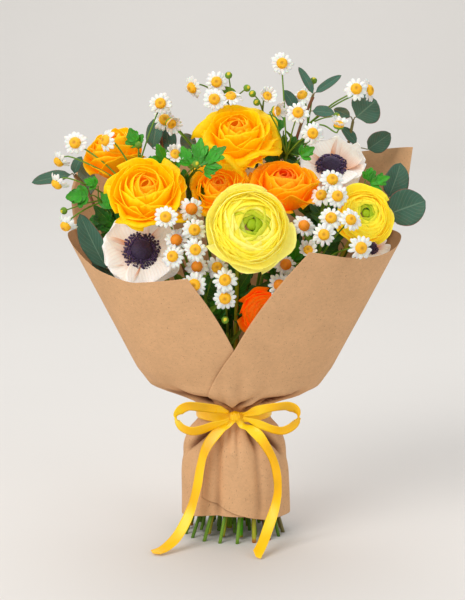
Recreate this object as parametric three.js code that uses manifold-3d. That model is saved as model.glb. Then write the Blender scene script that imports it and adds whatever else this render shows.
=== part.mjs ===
// A hand-tied bouquet in kraft paper: roses, ranunculus, anemones, chamomile and foliage on a spiral
// of cut stems, bound at the tie, wrapped in two sheets of paper and finished with a satin ribbon.
// Millimetres. +X is right, +Z is up and the front faces -Y. The part stands on its cut stems at z = 0.

import * as THREE from "three";
import { mergeVertices } from "three/addons/utils/BufferGeometryUtils.js";
import Module from "manifold-3d";

const wasm = await Module();
wasm.setup();

// ---- Driving dimensions ----

const CLEARANCE = 0.3; // between pieces that touch
const TIE_HEIGHT = 120; // the waist, where the stems are bound
const LEAF_THICKNESS = 1;

// Stem diameters.
const ROSE_STEM = 4.8;
const RANUNCULUS_STEM = 4;
const ANEMONE_STEM = 4;
const SPRAY_STEM = 3;
const EUCALYPTUS_STEM = 3.2;
const FOLIAGE_STEM = 3;
const BRANCH = 1.6;

// The bundle: rings of stems at the tie, and where each ring's cut ends stand.
const RING_PITCH = 5.9;
const RING_SIZES = [1, 6, 12, 18];
const FOOT_RADII = [5, 16, 30, 44];
const FOOT_SPREAD = { x: 1.1, y: 0.88 };
const FOOT_FORWARD = 4; // the heads lean forward, so the feet do too
const SPIRAL_TURN = -48; // degrees that the feet turn against the tie
const RAISED_END = 2.5; // inner stems are cut a little shorter

// Chamomile.
const HEAD_RADIUS = 11.5;
const BUD_RADIUS = 3.6;

// Paper.
const PAPER_THICKNESS = 0.8;
const LAP_GAP = 2.4; // between the two laps of the outer sheet at the front
const SHEET_GAP = 4.2; // between the outer sheet and the back sheet
const WAIST_HALF_HEIGHT = 7;
const WAIST_RADIUS = { x: 34.7, y: 31.2 }; // to the outer sheet's inner face, as every radius of the wrap
const WAIST_LEVELS = [TIE_HEIGHT - WAIST_HALF_HEIGHT, TIE_HEIGHT + WAIST_HALF_HEIGHT];

// Ribbon.
const RIBBON_WIDTH = 10;
const RIBBON_THICKNESS = 0.7;

// Binding.
const BINDING_HEIGHT = 5;
const BINDING_THICKNESS = 1.8;
const BINDING_ROOM = 4.7; // the stems lean outwards through the binding

// ---- Flowers: centre of the bloom, then degrees turned right of the front and tilted up ----

const ROSES = [
  { name: "rose_left", at: [-79, -54, 332], turn: 5, tilt: 43, radius: 35, depth: 38 },
  { name: "rose_top", at: [3, -8, 379], turn: -4, tilt: 52, radius: 36, depth: 40 },
  { name: "rose_back_left", at: [-111, 6, 362], turn: -40, tilt: 65, radius: 25, depth: 42 },
  { name: "rose_middle", at: [-14, -28, 334], turn: 0, tilt: 35, radius: 22, depth: 28 },
  { name: "rose_right", at: [46, -22, 334], turn: 5, tilt: 60, radius: 30, depth: 34 },
];

const RANUNCULUS = [
  { name: "ranunculus_front", at: [13, -88, 308], turn: 12, tilt: 21, radius: 39, depth: 46 },
  { name: "ranunculus_right", at: [117, -42, 311], turn: 12, tilt: 24, radius: 28, depth: 38 },
  { name: "ranunculus_low", at: [24, -52, 226], turn: 20, tilt: -4, radius: 21, depth: 32 },
];

const ANEMONES = [
  { name: "anemone_left", at: [-84, -50, 281], turn: 8, tilt: 26, radius: 35.5, depth: 16, boss: 13 },
  { name: "anemone_top", at: [91, 14, 351], turn: 0, tilt: 48, radius: 32, depth: 16, boss: 12 },
  { name: "anemone_edge", at: [125, -22, 280], turn: 30, tilt: 40, radius: 19, depth: 11, boss: 7 },
];

// ---- Chamomile: the fork of each stalk, its open heads [x, y, z, turn, tilt] and its buds [x, y, z] ----

const SPRAYS = [
  {
    fork: [-98, -24, 338],
    heads: [[-145, -20, 376, -10, 15], [-161, -10, 358, -60, -40]],
  },
  {
    fork: [-90, -26, 346],
    heads: [[-68, 5, 410, 0, 12], [-116, -27, 379, -50, 10]],
    buds: [[-87, -22, 374]],
  },
  {
    fork: [-36, 10, 366],
    heads: [[-58, -10, 393, 35, -20], [-65, 18, 394, 15, 10]],
  },
  {
    fork: [-112, -14, 324],
    heads: [[-160, -40, 341, -60, -45], [-152, -50, 304, -35, -40]],
    buds: [[-154, -45, 317]],
  },
  {
    fork: [-54, -14, 334],
    heads: [[-53, -44, 368, 5, 20]],
    buds: [[-34, -61, 361]],
  },
  {
    fork: [-4, 36, 407],
    heads: [[-38, 2, 425, -50, -20], [-16, 0, 430, 0, 10], [-18, -12, 415, 0, 15], [-3, -8, 417, 0, 60]],
    buds: [[12, 6, 424], [-5, 2, 436]],
    leaves: [[[2, 6, 417], [-10, 4, 425], 8]],
  },
  {
    fork: [27, 34, 401],
    heads: [[30, -5, 417, 20, 25]],
    buds: [[17, 4, 419], [21, 6, 411]],
  },
  {
    fork: [49, 6, 362],
    heads: [[44, 0, 447, 0, 10], [38, -22, 405, 50, 5], [58, -25, 404, 0, 15], [71, -34, 386, 5, 10]],
  },
  {
    fork: [70, 37, 388],
    heads: [[64, 22, 416, -30, 45], [112, -5, 424, 0, 20], [124, 4, 422, 60, 15], [96, -10, 391, 20, 70]],
    buds: [[74, 20, 430], [95, 9, 398]],
  },
  {
    fork: [78, -38, 303],
    heads: [[88, -52, 346, 10, 30], [79, -44, 331, -20, 30], [92, -66, 333, 10, 20]],
  },
  {
    fork: [74, -52, 268],
    heads: [
      [86, -78, 315, -10, 25],
      [79, -90, 302, 0, 12],
      [103, -82, 314, 15, 25],
      [66, -72, 285, 0, 30],
      [62, -72, 307, 15, 30],
      [111, -100, 292, 15, 0],
      [40, -86, 256, 15, 20],
      [46, -72, 272, 15, 30],
    ],
  },
  {
    fork: [-40, -44, 262],
    heads: [[-60, -92, 318, -5, 20], [-38, -70, 322, 10, 20], [-35, -88, 306, 10, 10], [-51, -82, 296, -10, 20]],
  },
  {
    fork: [-26, -44, 236],
    heads: [
      [-34, -98, 290, 5, 10],
      [-54, -92, 283, -20, 15],
      [-33, -82, 272, 0, 20],
      [-15, -80, 271, 0, 10],
      [-35, -94, 258, -5, 0],
    ],
  },
  {
    fork: [-6, -44, 204],
    heads: [[-8, -94, 246, 0, -5], [-8, -98, 263, 0, 15]],
    buds: [[-8, -84, 224]],
  },
];

// ---- Foliage: the stalk's points above the tie, then each leaf's base, tip and width ----

const EUCALYPTUS = [
  {
    name: "eucalyptus_left",
    stalk: [[-108, -8, 243], [-127, 2, 306], [-140, 6, 334], [-149, 6, 343]],
    leaves: [
      [[-117, -34, 262], [-143, -34, 311], 23],
      [[-108, -26, 240], [-130, -22, 277], 20],
      [[-152, 6, 344], [-190, 8, 338], 13],
      [[-149, 6, 345], [-143, 9, 361], 12],
      [[-134, 16, 324], [-141, 16, 358], 18],
    ],
  },
  {
    name: "eucalyptus_back_left",
    stalk: [[-63, 20, 310], [-66, 30, 352], [-69, 32, 376]],
    leaves: [
      [[-77, 30, 366], [-72, 32, 397], 17],
      [[-60, 32, 363], [-65, 36, 386], 17],
      [[-38, 35, 364], [-49, 37, 379], 15],
    ],
  },
  {
    name: "eucalyptus_top",
    stalk: [[50, 22, 334], [61, 12, 386], [73, 4, 416]],
    leaves: [
      [[73, 3, 419], [61, 2, 444], 8],
      [[75, 3, 420], [98, 2, 437], 8],
      [[58, 14, 403], [47, 12, 422], 12],
      [[72, -6, 404], [92, -9, 403], 12],
      [[45, 26, 356], [38, 30, 376], 15],
    ],
  },
  {
    name: "eucalyptus_right_upper",
    stalk: [[98, 46, 324], [108, 42, 366], [112, 31, 391]],
    leaves: [
      [[114, 20, 396], [133, 22, 412], 32],
      [[127, 40, 364], [148, 36, 379], 20],
      [[116, 36, 370], [102, 32, 386], 11],
      [[109, 26, 396], [94, 26, 404], 10],
    ],
  },
  {
    name: "eucalyptus_right",
    stalk: [[98, 4, 240], [130, 8, 290], [145, 10, 318]],
    leaves: [
      [[145, 12, 322], [158, 12, 353], 27],
      [[142, -6, 308], [179, -2, 321], 35],
    ],
  },
];

const FOLIAGE = [
  {
    name: "foliage_left",
    stalk: [[-99, -12, 274], [-116, -20, 312], [-124, -28, 326]],
    leaves: [
      [[-131, -34, 329], [-153, -38, 329], 18],
      [[-124, -30, 338], [-136, -34, 344], 10],
      [[-116, -28, 314], [-117, -30, 337], 10],
      [[-118, -16, 306], [-136, -14, 302], 13],
    ],
  },
  {
    name: "foliage_centre",
    stalk: [[-72, -2, 300], [-79, -10, 338], [-87, -14, 366]],
    leaves: [
      [[-82, -16, 345], [-70, -20, 366], 10],
      [[-88, -14, 371], [-96, -14, 389], 14],
      [[-56, -16, 344], [-70, -26, 375], 17],
    ],
  },
  {
    name: "foliage_top",
    stalk: [[-40, -10, 300], [-42, -26, 341], [-36, -42, 352]],
    leaves: [
      [[-32, -52, 356], [-30, -50, 384], 13],
      [[-28, -52, 358], [-8, -58, 377], 13],
      [[-28, -54, 353], [-14, -60, 357], 8],
      [[-38, -50, 358], [-47, -50, 376], 12],
    ],
  },
  {
    name: "foliage_right",
    stalk: [[112, -2, 287], [118, -10, 325], [120, -16, 337]],
    leaves: [
      [[123, -18, 338], [143, -20, 345], 10],
      [[121, -18, 341], [127, -16, 353], 11],
    ],
  },
  {
    name: "foliage_upper",
    stalk: [[36, 22, 312], [42, 22, 354], [46, 14, 379]],
    leaves: [
      [[46, 12, 384], [30, 14, 400], 12],
      [[60, -6, 362], [74, -10, 371], 10],
    ],
  },
  {
    name: "foliage_inner",
    stalk: [[34, 2, 204], [46, -4, 233], [55, -12, 256]],
    leaves: [
      [[55, -20, 258], [58, -34, 288], 16],
      [[46, -22, 238], [50, -34, 262], 13],
    ],
  },
  {
    name: "foliage_low",
    stalk: [[-2, -12, 180], [-2, -18, 204], [-4, -24, 226]],
    leaves: [
      [[-14, -32, 212], [-20, -38, 234], 12],
      [[-6, -24, 229], [-8, -24, 250], 12],
    ],
  },
];

// ---- Paper: height, then half width, front depth and back depth of the wrap's inner face; then each outline ----

const outsideWaist = (side, front, back) => [WAIST_RADIUS.x + side, WAIST_RADIUS.y + front, WAIST_RADIUS.y + back];
const KNEE = THREE.MathUtils.lerp(TIE_HEIGHT + 24, 195, 19 / 51); // where the cone bends, between the lip and the V
const WRAP = [
  [0, 53.2, 47.2, 40.2],
  [TIE_HEIGHT / 2, 52.2, 44.2, 40.2],
  [TIE_HEIGHT - 30, ...outsideWaist(14.5, 9, 7.5)],
  [TIE_HEIGHT - 16, ...outsideWaist(8.5, 3.5, 3.5)],
  [TIE_HEIGHT - WAIST_HALF_HEIGHT, ...outsideWaist(0, 0, 0)],
  [TIE_HEIGHT + WAIST_HALF_HEIGHT, ...outsideWaist(0, 0, 0)],
  [TIE_HEIGHT + 12, ...outsideWaist(12.5, 6, 6)],
  [TIE_HEIGHT + 17, ...outsideWaist(31.5, 19, 16)],
  [TIE_HEIGHT + 24, 80.2, 58.2, 53.2],
  [KNEE, 93.2, 67.2, 60.2],
  [195, 109.2, 82.2, 69.2],
  [289, 156.2, 120.2, 91.2],
  [325, 177.2, 133.2, 99.2],
  [367, 187.2, 141.2, 107.2],
];
const LIP_LEVELS = [TIE_HEIGHT + 12, TIE_HEIGHT + 17, TIE_HEIGHT + 24];
const NECK_LEVELS = [TIE_HEIGHT - 30, TIE_HEIGHT - 16, ...WAIST_LEVELS, ...LIP_LEVELS];
const WRAP_LEVELS = [TIE_HEIGHT / 2, ...NECK_LEVELS, KNEE, 195, 228];

// Azimuths are degrees right of the front. The outer sheet's free edges cross at the foot of the V.
const LEFT_EDGE = [[0, 38], [TIE_HEIGHT, 32], [TIE_HEIGHT + 20, 27], [195, 0], [265, -22]];
const RIGHT_EDGE = [[0, -42], [38, -40], [TIE_HEIGHT, -32], [TIE_HEIGHT + 20, -27], [195, 0], [290, 31]];
const OUTER_RIM = [[-360, 290], [-329, 290], [-311, 281], [-295, 278], [-281, 282], [-270, 288],
  [-180, 300], [-90, 289], [-80, 281], [-67, 265], [-49, 257], [-22, 265], [0, 268], [40, 268]];
const OUTER_HEM = [[-400, 45], [-360, 31], [-322, 22], [-270, 20], [-180, 18], [-90, 19], [-30, 27], [40, 28]];
const OUTER_COLUMNS = 36;

const BACK_RIGHT_EDGE = [[TIE_HEIGHT + WAIST_HALF_HEIGHT, 112], [289, 98], [325, 101], [367, 103]];
const BACK_LEFT_EDGE = [[TIE_HEIGHT + WAIST_HALF_HEIGHT, 246], [235, 252], [289, 262], [345, 250]];
const BACK_RIM = [[103, 367], [135, 352], [180, 348], [225, 346], [250, 345]];
const BACK_HEM = 64;
const BACK_COLUMNS = 16;
const BACK_LEVELS = [...NECK_LEVELS, 195, 289, 325];

// ---- Ribbon: points from the knot, each its x, how far in front of the band, and its height above the tie ----

const KNOT = { x: 1, z: 3, width: 11, depth: 8, height: 10 };
const LEFT_LOOP = [[-5, 5, 6], [-16, 13, 12], [-33, 19, 16], [-43, 18, 16], [-50, 15, 11], [-53, 13, 4],
  [-49, 12, -5], [-40, 12, -9], [-31, 12, -8], [-19, 10, -4], [-5, 6, 1]];
const RIGHT_LOOP = [[8, 5, 5], [15, 10, 8], [26, 17, 13], [41, 18, 16], [50, 16, 16], [57, 13, 11],
  [59, 12, 4], [55, 11, -4], [46, 11, -9], [37, 11, -8], [26, 10, -4], [8, 6, 1]];
const LEFT_TAIL = [[-5, 4, -RIBBON_WIDTH / 2], [-12, 7, 2 - RIBBON_WIDTH], [-22, 10, -9 - RIBBON_WIDTH],
  [-28, 12, -30], [-32, 13, -46], [-34, 15, -60], [-39, 17, -79], [-46, 23, -95], [-54, 30, -107],
  [-64, 37, -114], [-75, 42, -117]];
const RIGHT_TAIL = [[6, 4, -RIBBON_WIDTH / 2], [14, 7, 3 - RIBBON_WIDTH], [23, 10, -4 - RIBBON_WIDTH],
  [30, 12, -24], [36, 13, -36], [40, 14, -51], [41, 15, -66], [38, 19, -81], [32, 28, -97], [26, 41, -109],
  [20, 52, -117]];

// ---- Colours ----

const ROSE_YELLOW = 0xffb90f;
const LEMON = 0xf0d94e;
const ORANGE = 0xf57a12;
const CREAM = 0xe6d6c2;
const PLUM = 0x3a2942;
const LEAF_GREEN = 0x3f7a22;
const STEM_GREEN = 0x5b8a2a;
const BLUE_GREEN = 0x547d6e;
const HEAD_WHITE = 0xf4ead8;
const KRAFT = 0xcc9a68;
const SATIN = 0xf0b422;
const TWINE = 0xb59a6a;

// ---- Geometry helpers ----

const radians = THREE.MathUtils.degToRad;
const vector = (p) => new THREE.Vector3(...p);

// The value of a piecewise linear table [[key, value...], ...] at one key.
function lookup(table, key, column = 1) {
  const last = table.length - 1;
  if (key <= table[0][0]) return table[0][column];
  if (key >= table[last][0]) return table[last][column];
  const i = table.findIndex((row) => row[0] >= key);
  const [low, high] = [table[i - 1], table[i]];
  return THREE.MathUtils.mapLinear(key, low[0], high[0], low[column], high[column]);
}

// A direction from degrees turned right of the front and degrees tilted up.
function facing(turn, tilt) {
  const [a, b] = [radians(turn), radians(tilt)];
  return new THREE.Vector3(Math.sin(a) * Math.cos(b), -Math.cos(a) * Math.cos(b), Math.sin(b));
}

function toSolid(geometry) {
  const bare = geometry.clone();
  bare.deleteAttribute("normal");
  bare.deleteAttribute("uv");
  const merged = mergeVertices(bare, 1e-3);
  const triVerts = new Uint32Array(merged.index.array);
  return new wasm.Manifold(
    new wasm.Mesh({ numProp: 3, vertProperties: merged.attributes.position.array, triVerts }),
  );
}

function toGeometry(solid) {
  const { vertProperties, triVerts } = solid.getMesh();
  const geometry = new THREE.BufferGeometry();
  geometry.setAttribute("position", new THREE.BufferAttribute(new Float32Array(vertProperties), 3));
  geometry.setIndex(new THREE.BufferAttribute(new Uint32Array(triVerts), 1));
  geometry.computeVertexNormals();
  return geometry;
}

function circle(radius, sides) {
  const shape = new THREE.Shape();
  for (let i = 0; i < sides; i++) {
    const a = (2 * Math.PI * i) / sides;
    shape[i ? "lineTo" : "moveTo"](radius * Math.cos(a), radius * Math.sin(a));
  }
  return shape;
}

function tube(points, diameter, sides, steps) {
  const curve = new THREE.CatmullRomCurve3(points, false, "centripetal");
  const options = { extrudePath: curve, steps, bevelEnabled: false };
  return toSolid(new THREE.ExtrudeGeometry(circle(diameter / 2, sides), options));
}

// A lathe whose axis runs along a direction, from a base point.
function turned(profile, segments, base, axis) {
  const points = profile.map(([r, h]) => new THREE.Vector2(r, h));
  const geometry = new THREE.LatheGeometry(points, segments);
  const turn = new THREE.Quaternion().setFromUnitVectors(new THREE.Vector3(0, 1, 0), axis);
  geometry.applyMatrix4(new THREE.Matrix4().compose(base, turn, new THREE.Vector3(1, 1, 1)));
  return toSolid(geometry);
}

// A thin closed body between two grids of points that face each other.
function slab(front, back) {
  const rows = front.length;
  const columns = front[0].length;
  const positions = [...front.flat(), ...back.flat()].flatMap((p) => p.toArray());
  const at = (side, i, j) => side * rows * columns + i * columns + j;
  const index = [];
  const quad = (a, b, c, d) => index.push(a, b, c, a, c, d);
  for (let i = 0; i < rows - 1; i++)
    for (let j = 0; j < columns - 1; j++) {
      quad(at(0, i, j), at(0, i, j + 1), at(0, i + 1, j + 1), at(0, i + 1, j));
      quad(at(1, i, j), at(1, i + 1, j), at(1, i + 1, j + 1), at(1, i, j + 1));
    }
  for (let j = 0; j < columns - 1; j++) {
    quad(at(0, 0, j), at(1, 0, j), at(1, 0, j + 1), at(0, 0, j + 1));
    quad(at(0, rows - 1, j), at(0, rows - 1, j + 1), at(1, rows - 1, j + 1), at(1, rows - 1, j));
  }
  for (let i = 0; i < rows - 1; i++) {
    quad(at(0, i, 0), at(0, i + 1, 0), at(1, i + 1, 0), at(1, i, 0));
    quad(at(0, i, columns - 1), at(1, i, columns - 1), at(1, i + 1, columns - 1), at(0, i + 1, columns - 1));
  }
  const geometry = new THREE.BufferGeometry();
  geometry.setAttribute("position", new THREE.Float32BufferAttribute(positions, 3));
  geometry.setIndex(index);
  return toSolid(geometry);
}

// A leaf from its base to its tip, its flat side turned towards a direction.
function leaf([from, to, width], look) {
  const along = vector(to).sub(vector(from));
  const length = along.length();
  along.normalize();
  const across = new THREE.Vector3().crossVectors(look, along).normalize();
  const normal = new THREE.Vector3().crossVectors(along, across);
  const half = width / 2;
  const shape = new THREE.Shape();
  shape.moveTo(0, 0);
  shape.bezierCurveTo(length * 0.2, half * 1.25, length * 0.75, half * 1.35, length, 0);
  shape.bezierCurveTo(length * 0.75, -half * 1.35, length * 0.2, -half * 1.25, 0, 0);
  const geometry = new THREE.ExtrudeGeometry(shape, { depth: LEAF_THICKNESS, bevelEnabled: false, curveSegments: 3 });
  geometry.translate(0, 0, -LEAF_THICKNESS * 0.7);
  geometry.applyMatrix4(new THREE.Matrix4().makeBasis(along, across, normal).setPosition(vector(from)));
  return toSolid(geometry);
}

// ---- The bundle of stems ----

const stems = []; // every stem asks for a slot before any is built

function addStem(name, diameter, points) {
  const target = points[0];
  const reach = Math.hypot(target.x, target.y) / (target.z - TIE_HEIGHT);
  stems.push({ name, diameter, points, reach, azimuth: Math.atan2(target.y, target.x) });
}

// Stems that lean out most stand in the outer ring. Inside a ring they keep the order of their heads.
function assignSlots() {
  const waiting = [...stems].sort((a, b) => a.reach - b.reach);
  RING_SIZES.forEach((size, ring) => {
    const members = waiting.splice(0, size).sort((a, b) => a.azimuth - b.azimuth);
    const step = (2 * Math.PI) / members.length;
    let [sine, cosine] = [0, 0];
    members.forEach((stem, i) => {
      sine += Math.sin(stem.azimuth - i * step);
      cosine += Math.cos(stem.azimuth - i * step);
    });
    members.forEach((stem, i) => {
      stem.ring = ring;
      stem.angle = Math.atan2(sine, cosine) + i * step;
    });
  });
}

const STEM_STEPS = 10;

function stemPath({ ring, angle, diameter, points }) {
  const tieRadius = ring * RING_PITCH;
  const tie = new THREE.Vector3(tieRadius * Math.cos(angle), tieRadius * Math.sin(angle), TIE_HEIGHT);
  const turned = angle + radians(SPIRAL_TURN);
  const foot = new THREE.Vector3(
    FOOT_RADII[ring] * FOOT_SPREAD.x * Math.cos(turned),
    FOOT_RADII[ring] * FOOT_SPREAD.y * Math.sin(turned) - FOOT_FORWARD,
    -diameter,
  );
  const rise = tie.clone().lerp(points[0], 0.2);
  return [foot, foot.clone().lerp(tie, 0.5), foot.clone().lerp(tie, 0.9), tie, rise, ...points];
}

function stemSolid(stem) {
  const raised = stem.ring < RING_SIZES.length - 1 ? RAISED_END : 0;
  const sides = stem.diameter > SPRAY_STEM ? 6 : 5;
  return tube(stemPath(stem), stem.diameter, sides, STEM_STEPS).trimByPlane([0, 0, 1], raised);
}

// Points close together along the straight pieces that a stem's solid is made of.
function stemPlaces(stem) {
  const curve = new THREE.CatmullRomCurve3(stemPath(stem), false, "centripetal");
  const knots = curve.getSpacedPoints(STEM_STEPS);
  return knots.slice(1).flatMap((knot, i) => [0.2, 0.4, 0.6, 0.8, 0.97].map((t) => knots[i].clone().lerp(knot, t)));
}

// ---- The pieces ----

const group = new THREE.Group();
const tails = [];

function add(name, solid, color, roughness = 0.7) {
  const material = new THREE.MeshStandardMaterial({ color, roughness, metalness: 0 });
  const mesh = new THREE.Mesh(toGeometry(solid), material);
  mesh.name = name;
  group.add(mesh);
  return mesh;
}

const ROSE_PROFILE = [[0, 0], [0.38, 0.04], [0.74, 0.24], [1, 0.62], [0.86, 0.9], [0.4, 1], [0, 0.94]];
const RANUNCULUS_PROFILE = [[0, 0], [0.6, 0.07], [0.93, 0.32], [1, 0.58], [0.86, 0.84], [0.5, 0.98], [0, 0.92]];
const BOWL_PROFILE = [[0, 0], [0.35, 0.03], [0.8, 0.32], [1, 0.94], [0.97, 1], [0.75, 0.44], [0.35, 0.16], [0, 0.14]];
const BOSS_PROFILE = [[0, 0], [0.9, 0.05], [1, 0.35], [0.5, 0.7], [0, 0.8]];
const HEAD_PROFILE = [[0, -2.4], [0.95, 0], [0.95, 0.9], [0, 4.2]];
const BUD_PROFILE = [[0, -1], [1, -0.1], [0, 1]];

const scaled = (profile, radius, depth) => profile.map(([r, h]) => [r * radius, h * depth]);

function bloomBase({ at, turn, tilt, depth }) {
  const axis = facing(turn, tilt);
  return { axis, base: vector(at).addScaledVector(axis, -depth / 2) };
}

function addBloomStem(flower, diameter) {
  const { axis, base } = bloomBase(flower);
  const neck = base.clone().addScaledVector(axis, -Math.max(14, flower.radius * 0.5));
  neck.z -= 6;
  const under = base.clone().addScaledVector(axis, -5);
  addStem(flower.name + "_stem", diameter, [neck, under, base.addScaledVector(axis, -CLEARANCE)]);
}

function addBloom(flower, profile, color) {
  const { axis, base } = bloomBase(flower);
  add(flower.name + "_petals", turned(scaled(profile, flower.radius, flower.depth), 12, base, axis), color);
}

function addAnemone(flower) {
  addBloom(flower, BOWL_PROFILE, CREAM);
  const { axis, base } = bloomBase(flower);
  const seat = base.addScaledVector(axis, flower.depth * 0.16 + CLEARANCE);
  add(flower.name + "_centre", turned(scaled(BOSS_PROFILE, flower.boss, flower.boss), 10, seat, axis), PLUM);
}

// One chamomile stalk with its branches, heads, buds and small leaves.
function sprayCrown({ fork, heads = [], buds = [], leaves = [] }) {
  const root = vector(fork);
  let crown = null;
  const join = (solid) => {
    crown = crown ? crown.add(solid) : solid;
  };
  const branch = (end, under) => {
    const middle = root.clone().lerp(under, 0.55);
    middle.z += 3;
    join(tube([root, middle, under, end], BRANCH, 3, 3));
  };
  for (const [x, y, z, turn, tilt] of heads) {
    const axis = facing(turn, tilt);
    const centre = new THREE.Vector3(x, y, z);
    branch(centre, centre.clone().addScaledVector(axis, -7));
    join(turned(HEAD_PROFILE.map(([r, h]) => [r * HEAD_RADIUS, h]), 6, centre, axis));
  }
  for (const place of buds) {
    const centre = vector(place);
    branch(centre, centre.clone().lerp(root, 0.2));
    join(turned(scaled(BUD_PROFILE, BUD_RADIUS, BUD_RADIUS), 6, centre, new THREE.Vector3(0, 0, 1)));
  }
  for (const blade of leaves) {
    const middle = vector(blade[0]).lerp(vector(blade[1]), 0.3);
    branch(middle, vector(blade[0]));
    join(leaf(blade, facing(0, 11)));
  }
  return crown;
}

// A stalk's leaves, each on a short leaf stalk from the nearest point below it.
function leavesOn(stem, blades) {
  const places = stemPlaces(stem).filter((p) => p.z > TIE_HEIGHT + WAIST_HALF_HEIGHT);
  const solids = blades.map((blade) => {
    const base = vector(blade[0]);
    const below = places.filter((p) => p.z < base.z - 2);
    const near = (below.length ? below : [places[0]]).reduce((best, p) =>
      p.distanceTo(base) < best.distanceTo(base) ? p : best,
    );
    const inside = base.clone().lerp(vector(blade[1]), 0.3);
    return tube([near, base, inside], BRANCH, 3, 2).add(leaf(blade, facing(0, 11)));
  });
  return solids.reduce((all, solid) => all.add(solid));
}

const crowns = new Map(); // what grows on a stem in the same piece, made once the stem has its slot

function addStalk({ name, stalk, leaves }, diameter) {
  crowns.set(name, (stem) => leavesOn(stem, leaves));
  addStem(name, diameter, stalk.map(vector));
}

const sprayName = (i) => "chamomile_" + String(i + 1).padStart(2, "0");

ROSES.forEach((flower) => addBloomStem(flower, ROSE_STEM));
RANUNCULUS.forEach((flower) => addBloomStem(flower, RANUNCULUS_STEM));
ANEMONES.forEach((flower) => addBloomStem(flower, ANEMONE_STEM));
SPRAYS.forEach((spray, i) => {
  const fork = vector(spray.fork);
  crowns.set(sprayName(i), () => sprayCrown(spray));
  const below = fork.clone();
  below.z -= 24;
  below.x *= 0.88;
  below.y *= 0.88;
  addStem(sprayName(i), SPRAY_STEM, [below, fork]);
});
EUCALYPTUS.forEach((stalk) => addStalk(stalk, EUCALYPTUS_STEM));
FOLIAGE.forEach((stalk) => addStalk(stalk, FOLIAGE_STEM));
assignSlots();

ROSES.forEach((flower) => addBloom(flower, ROSE_PROFILE, ROSE_YELLOW));
RANUNCULUS.forEach((flower, i) => addBloom(flower, RANUNCULUS_PROFILE, i === 2 ? ORANGE : LEMON));
ANEMONES.forEach(addAnemone);
for (const stem of stems) {
  const crown = crowns.get(stem.name)?.(stem);
  const solid = stemSolid(stem);
  const color = /eucalyptus/.test(stem.name) ? BLUE_GREEN : /chamomile/.test(stem.name) ? HEAD_WHITE : LEAF_GREEN;
  add(stem.name, crown ? solid.add(crown) : solid, crown ? color : STEM_GREEN);
}

// ---- The binding inside the paper ----

const bundleRadius = (RING_SIZES.length - 1) * RING_PITCH + ROSE_STEM / 2;

function bindingSolid() {
  const inner = bundleRadius + BINDING_ROOM;
  const outer = inner + BINDING_THICKNESS;
  const half = BINDING_HEIGHT / 2;
  const middle = new THREE.Vector3(0, 0, TIE_HEIGHT);
  const section = [[inner + 0.9, -half], [outer, 0], [inner + 0.9, half], [inner, 0], [inner + 0.9, -half]];
  return turned(section, 24, middle, new THREE.Vector3(0, 0, 1));
}
add("stem_binding", bindingSolid(), TWINE, 0.9);

// ---- Paper ----

// A point of the wrap at an azimuth, a height and a distance inside the outer sheet's outer face.
function wrapPoint(azimuth, z, inset) {
  const a = radians(azimuth);
  const [rx, ry] = [lookup(WRAP, z, 1), lookup(WRAP, z, Math.cos(a) > 0 ? 2 : 3)].map((r) => r + PAPER_THICKNESS);
  const radius = 1 / Math.hypot(Math.sin(a) / rx, Math.cos(a) / ry) - inset;
  return new THREE.Vector3(radius * Math.sin(a), -radius * Math.cos(a), z);
}

function outerSheet() {
  const [front, back] = [[], []];
  for (let row = 0; row < WRAP_LEVELS.length + 2; row++) {
    front.push([]);
    back.push([]);
    for (let column = 0; column <= OUTER_COLUMNS; column++) {
      const u = column / OUTER_COLUMNS;
      let z = WRAP_LEVELS[row - 1];
      let azimuth = 0;
      for (let pass = 0; pass < 3; pass++) {
        const guess = z ?? (row ? 275 : 20);
        const [left, right] = [lookup(LEFT_EDGE, guess), lookup(RIGHT_EDGE, guess) - 360];
        azimuth = THREE.MathUtils.lerp(left, right, u);
        if (row === 0) z = lookup(OUTER_HEM, azimuth);
        if (row === WRAP_LEVELS.length + 1) z = lookup(OUTER_RIM, azimuth);
      }
      const inset = LAP_GAP * (1 - u);
      front[row].push(wrapPoint(azimuth, z, inset));
      back[row].push(wrapPoint(azimuth, z, inset + PAPER_THICKNESS));
    }
  }
  return slab(back, front);
}

function backSheet() {
  const levels = [BACK_HEM, ...BACK_LEVELS, null];
  const grid = (inset) =>
    levels.map((level) => {
      const row = [];
      for (let column = 0; column <= BACK_COLUMNS; column++) {
        const [right, left] = [lookup(BACK_RIGHT_EDGE, level ?? 400), lookup(BACK_LEFT_EDGE, level ?? 400)];
        const azimuth = THREE.MathUtils.lerp(right, left, column / BACK_COLUMNS);
        row.push(wrapPoint(azimuth, level ?? lookup(BACK_RIM, azimuth), inset));
      }
      return row;
    });
  return slab(grid(SHEET_GAP), grid(SHEET_GAP + PAPER_THICKNESS));
}

add("kraft_outer_sheet", outerSheet(), KRAFT, 0.9);
add("kraft_back_sheet", backSheet(), KRAFT, 0.9);

// ---- Ribbon ----

const sheetToBand = PAPER_THICKNESS + CLEARANCE;
const bandInner = { x: WAIST_RADIUS.x + sheetToBand, y: WAIST_RADIUS.y + sheetToBand };
const bandOuter = { x: bandInner.x + RIBBON_THICKNESS, y: bandInner.y + RIBBON_THICKNESS };
const ribbonPoint = ([x, forward, rise]) => new THREE.Vector3(x, -bandOuter.y - forward, TIE_HEIGHT + rise);

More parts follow.
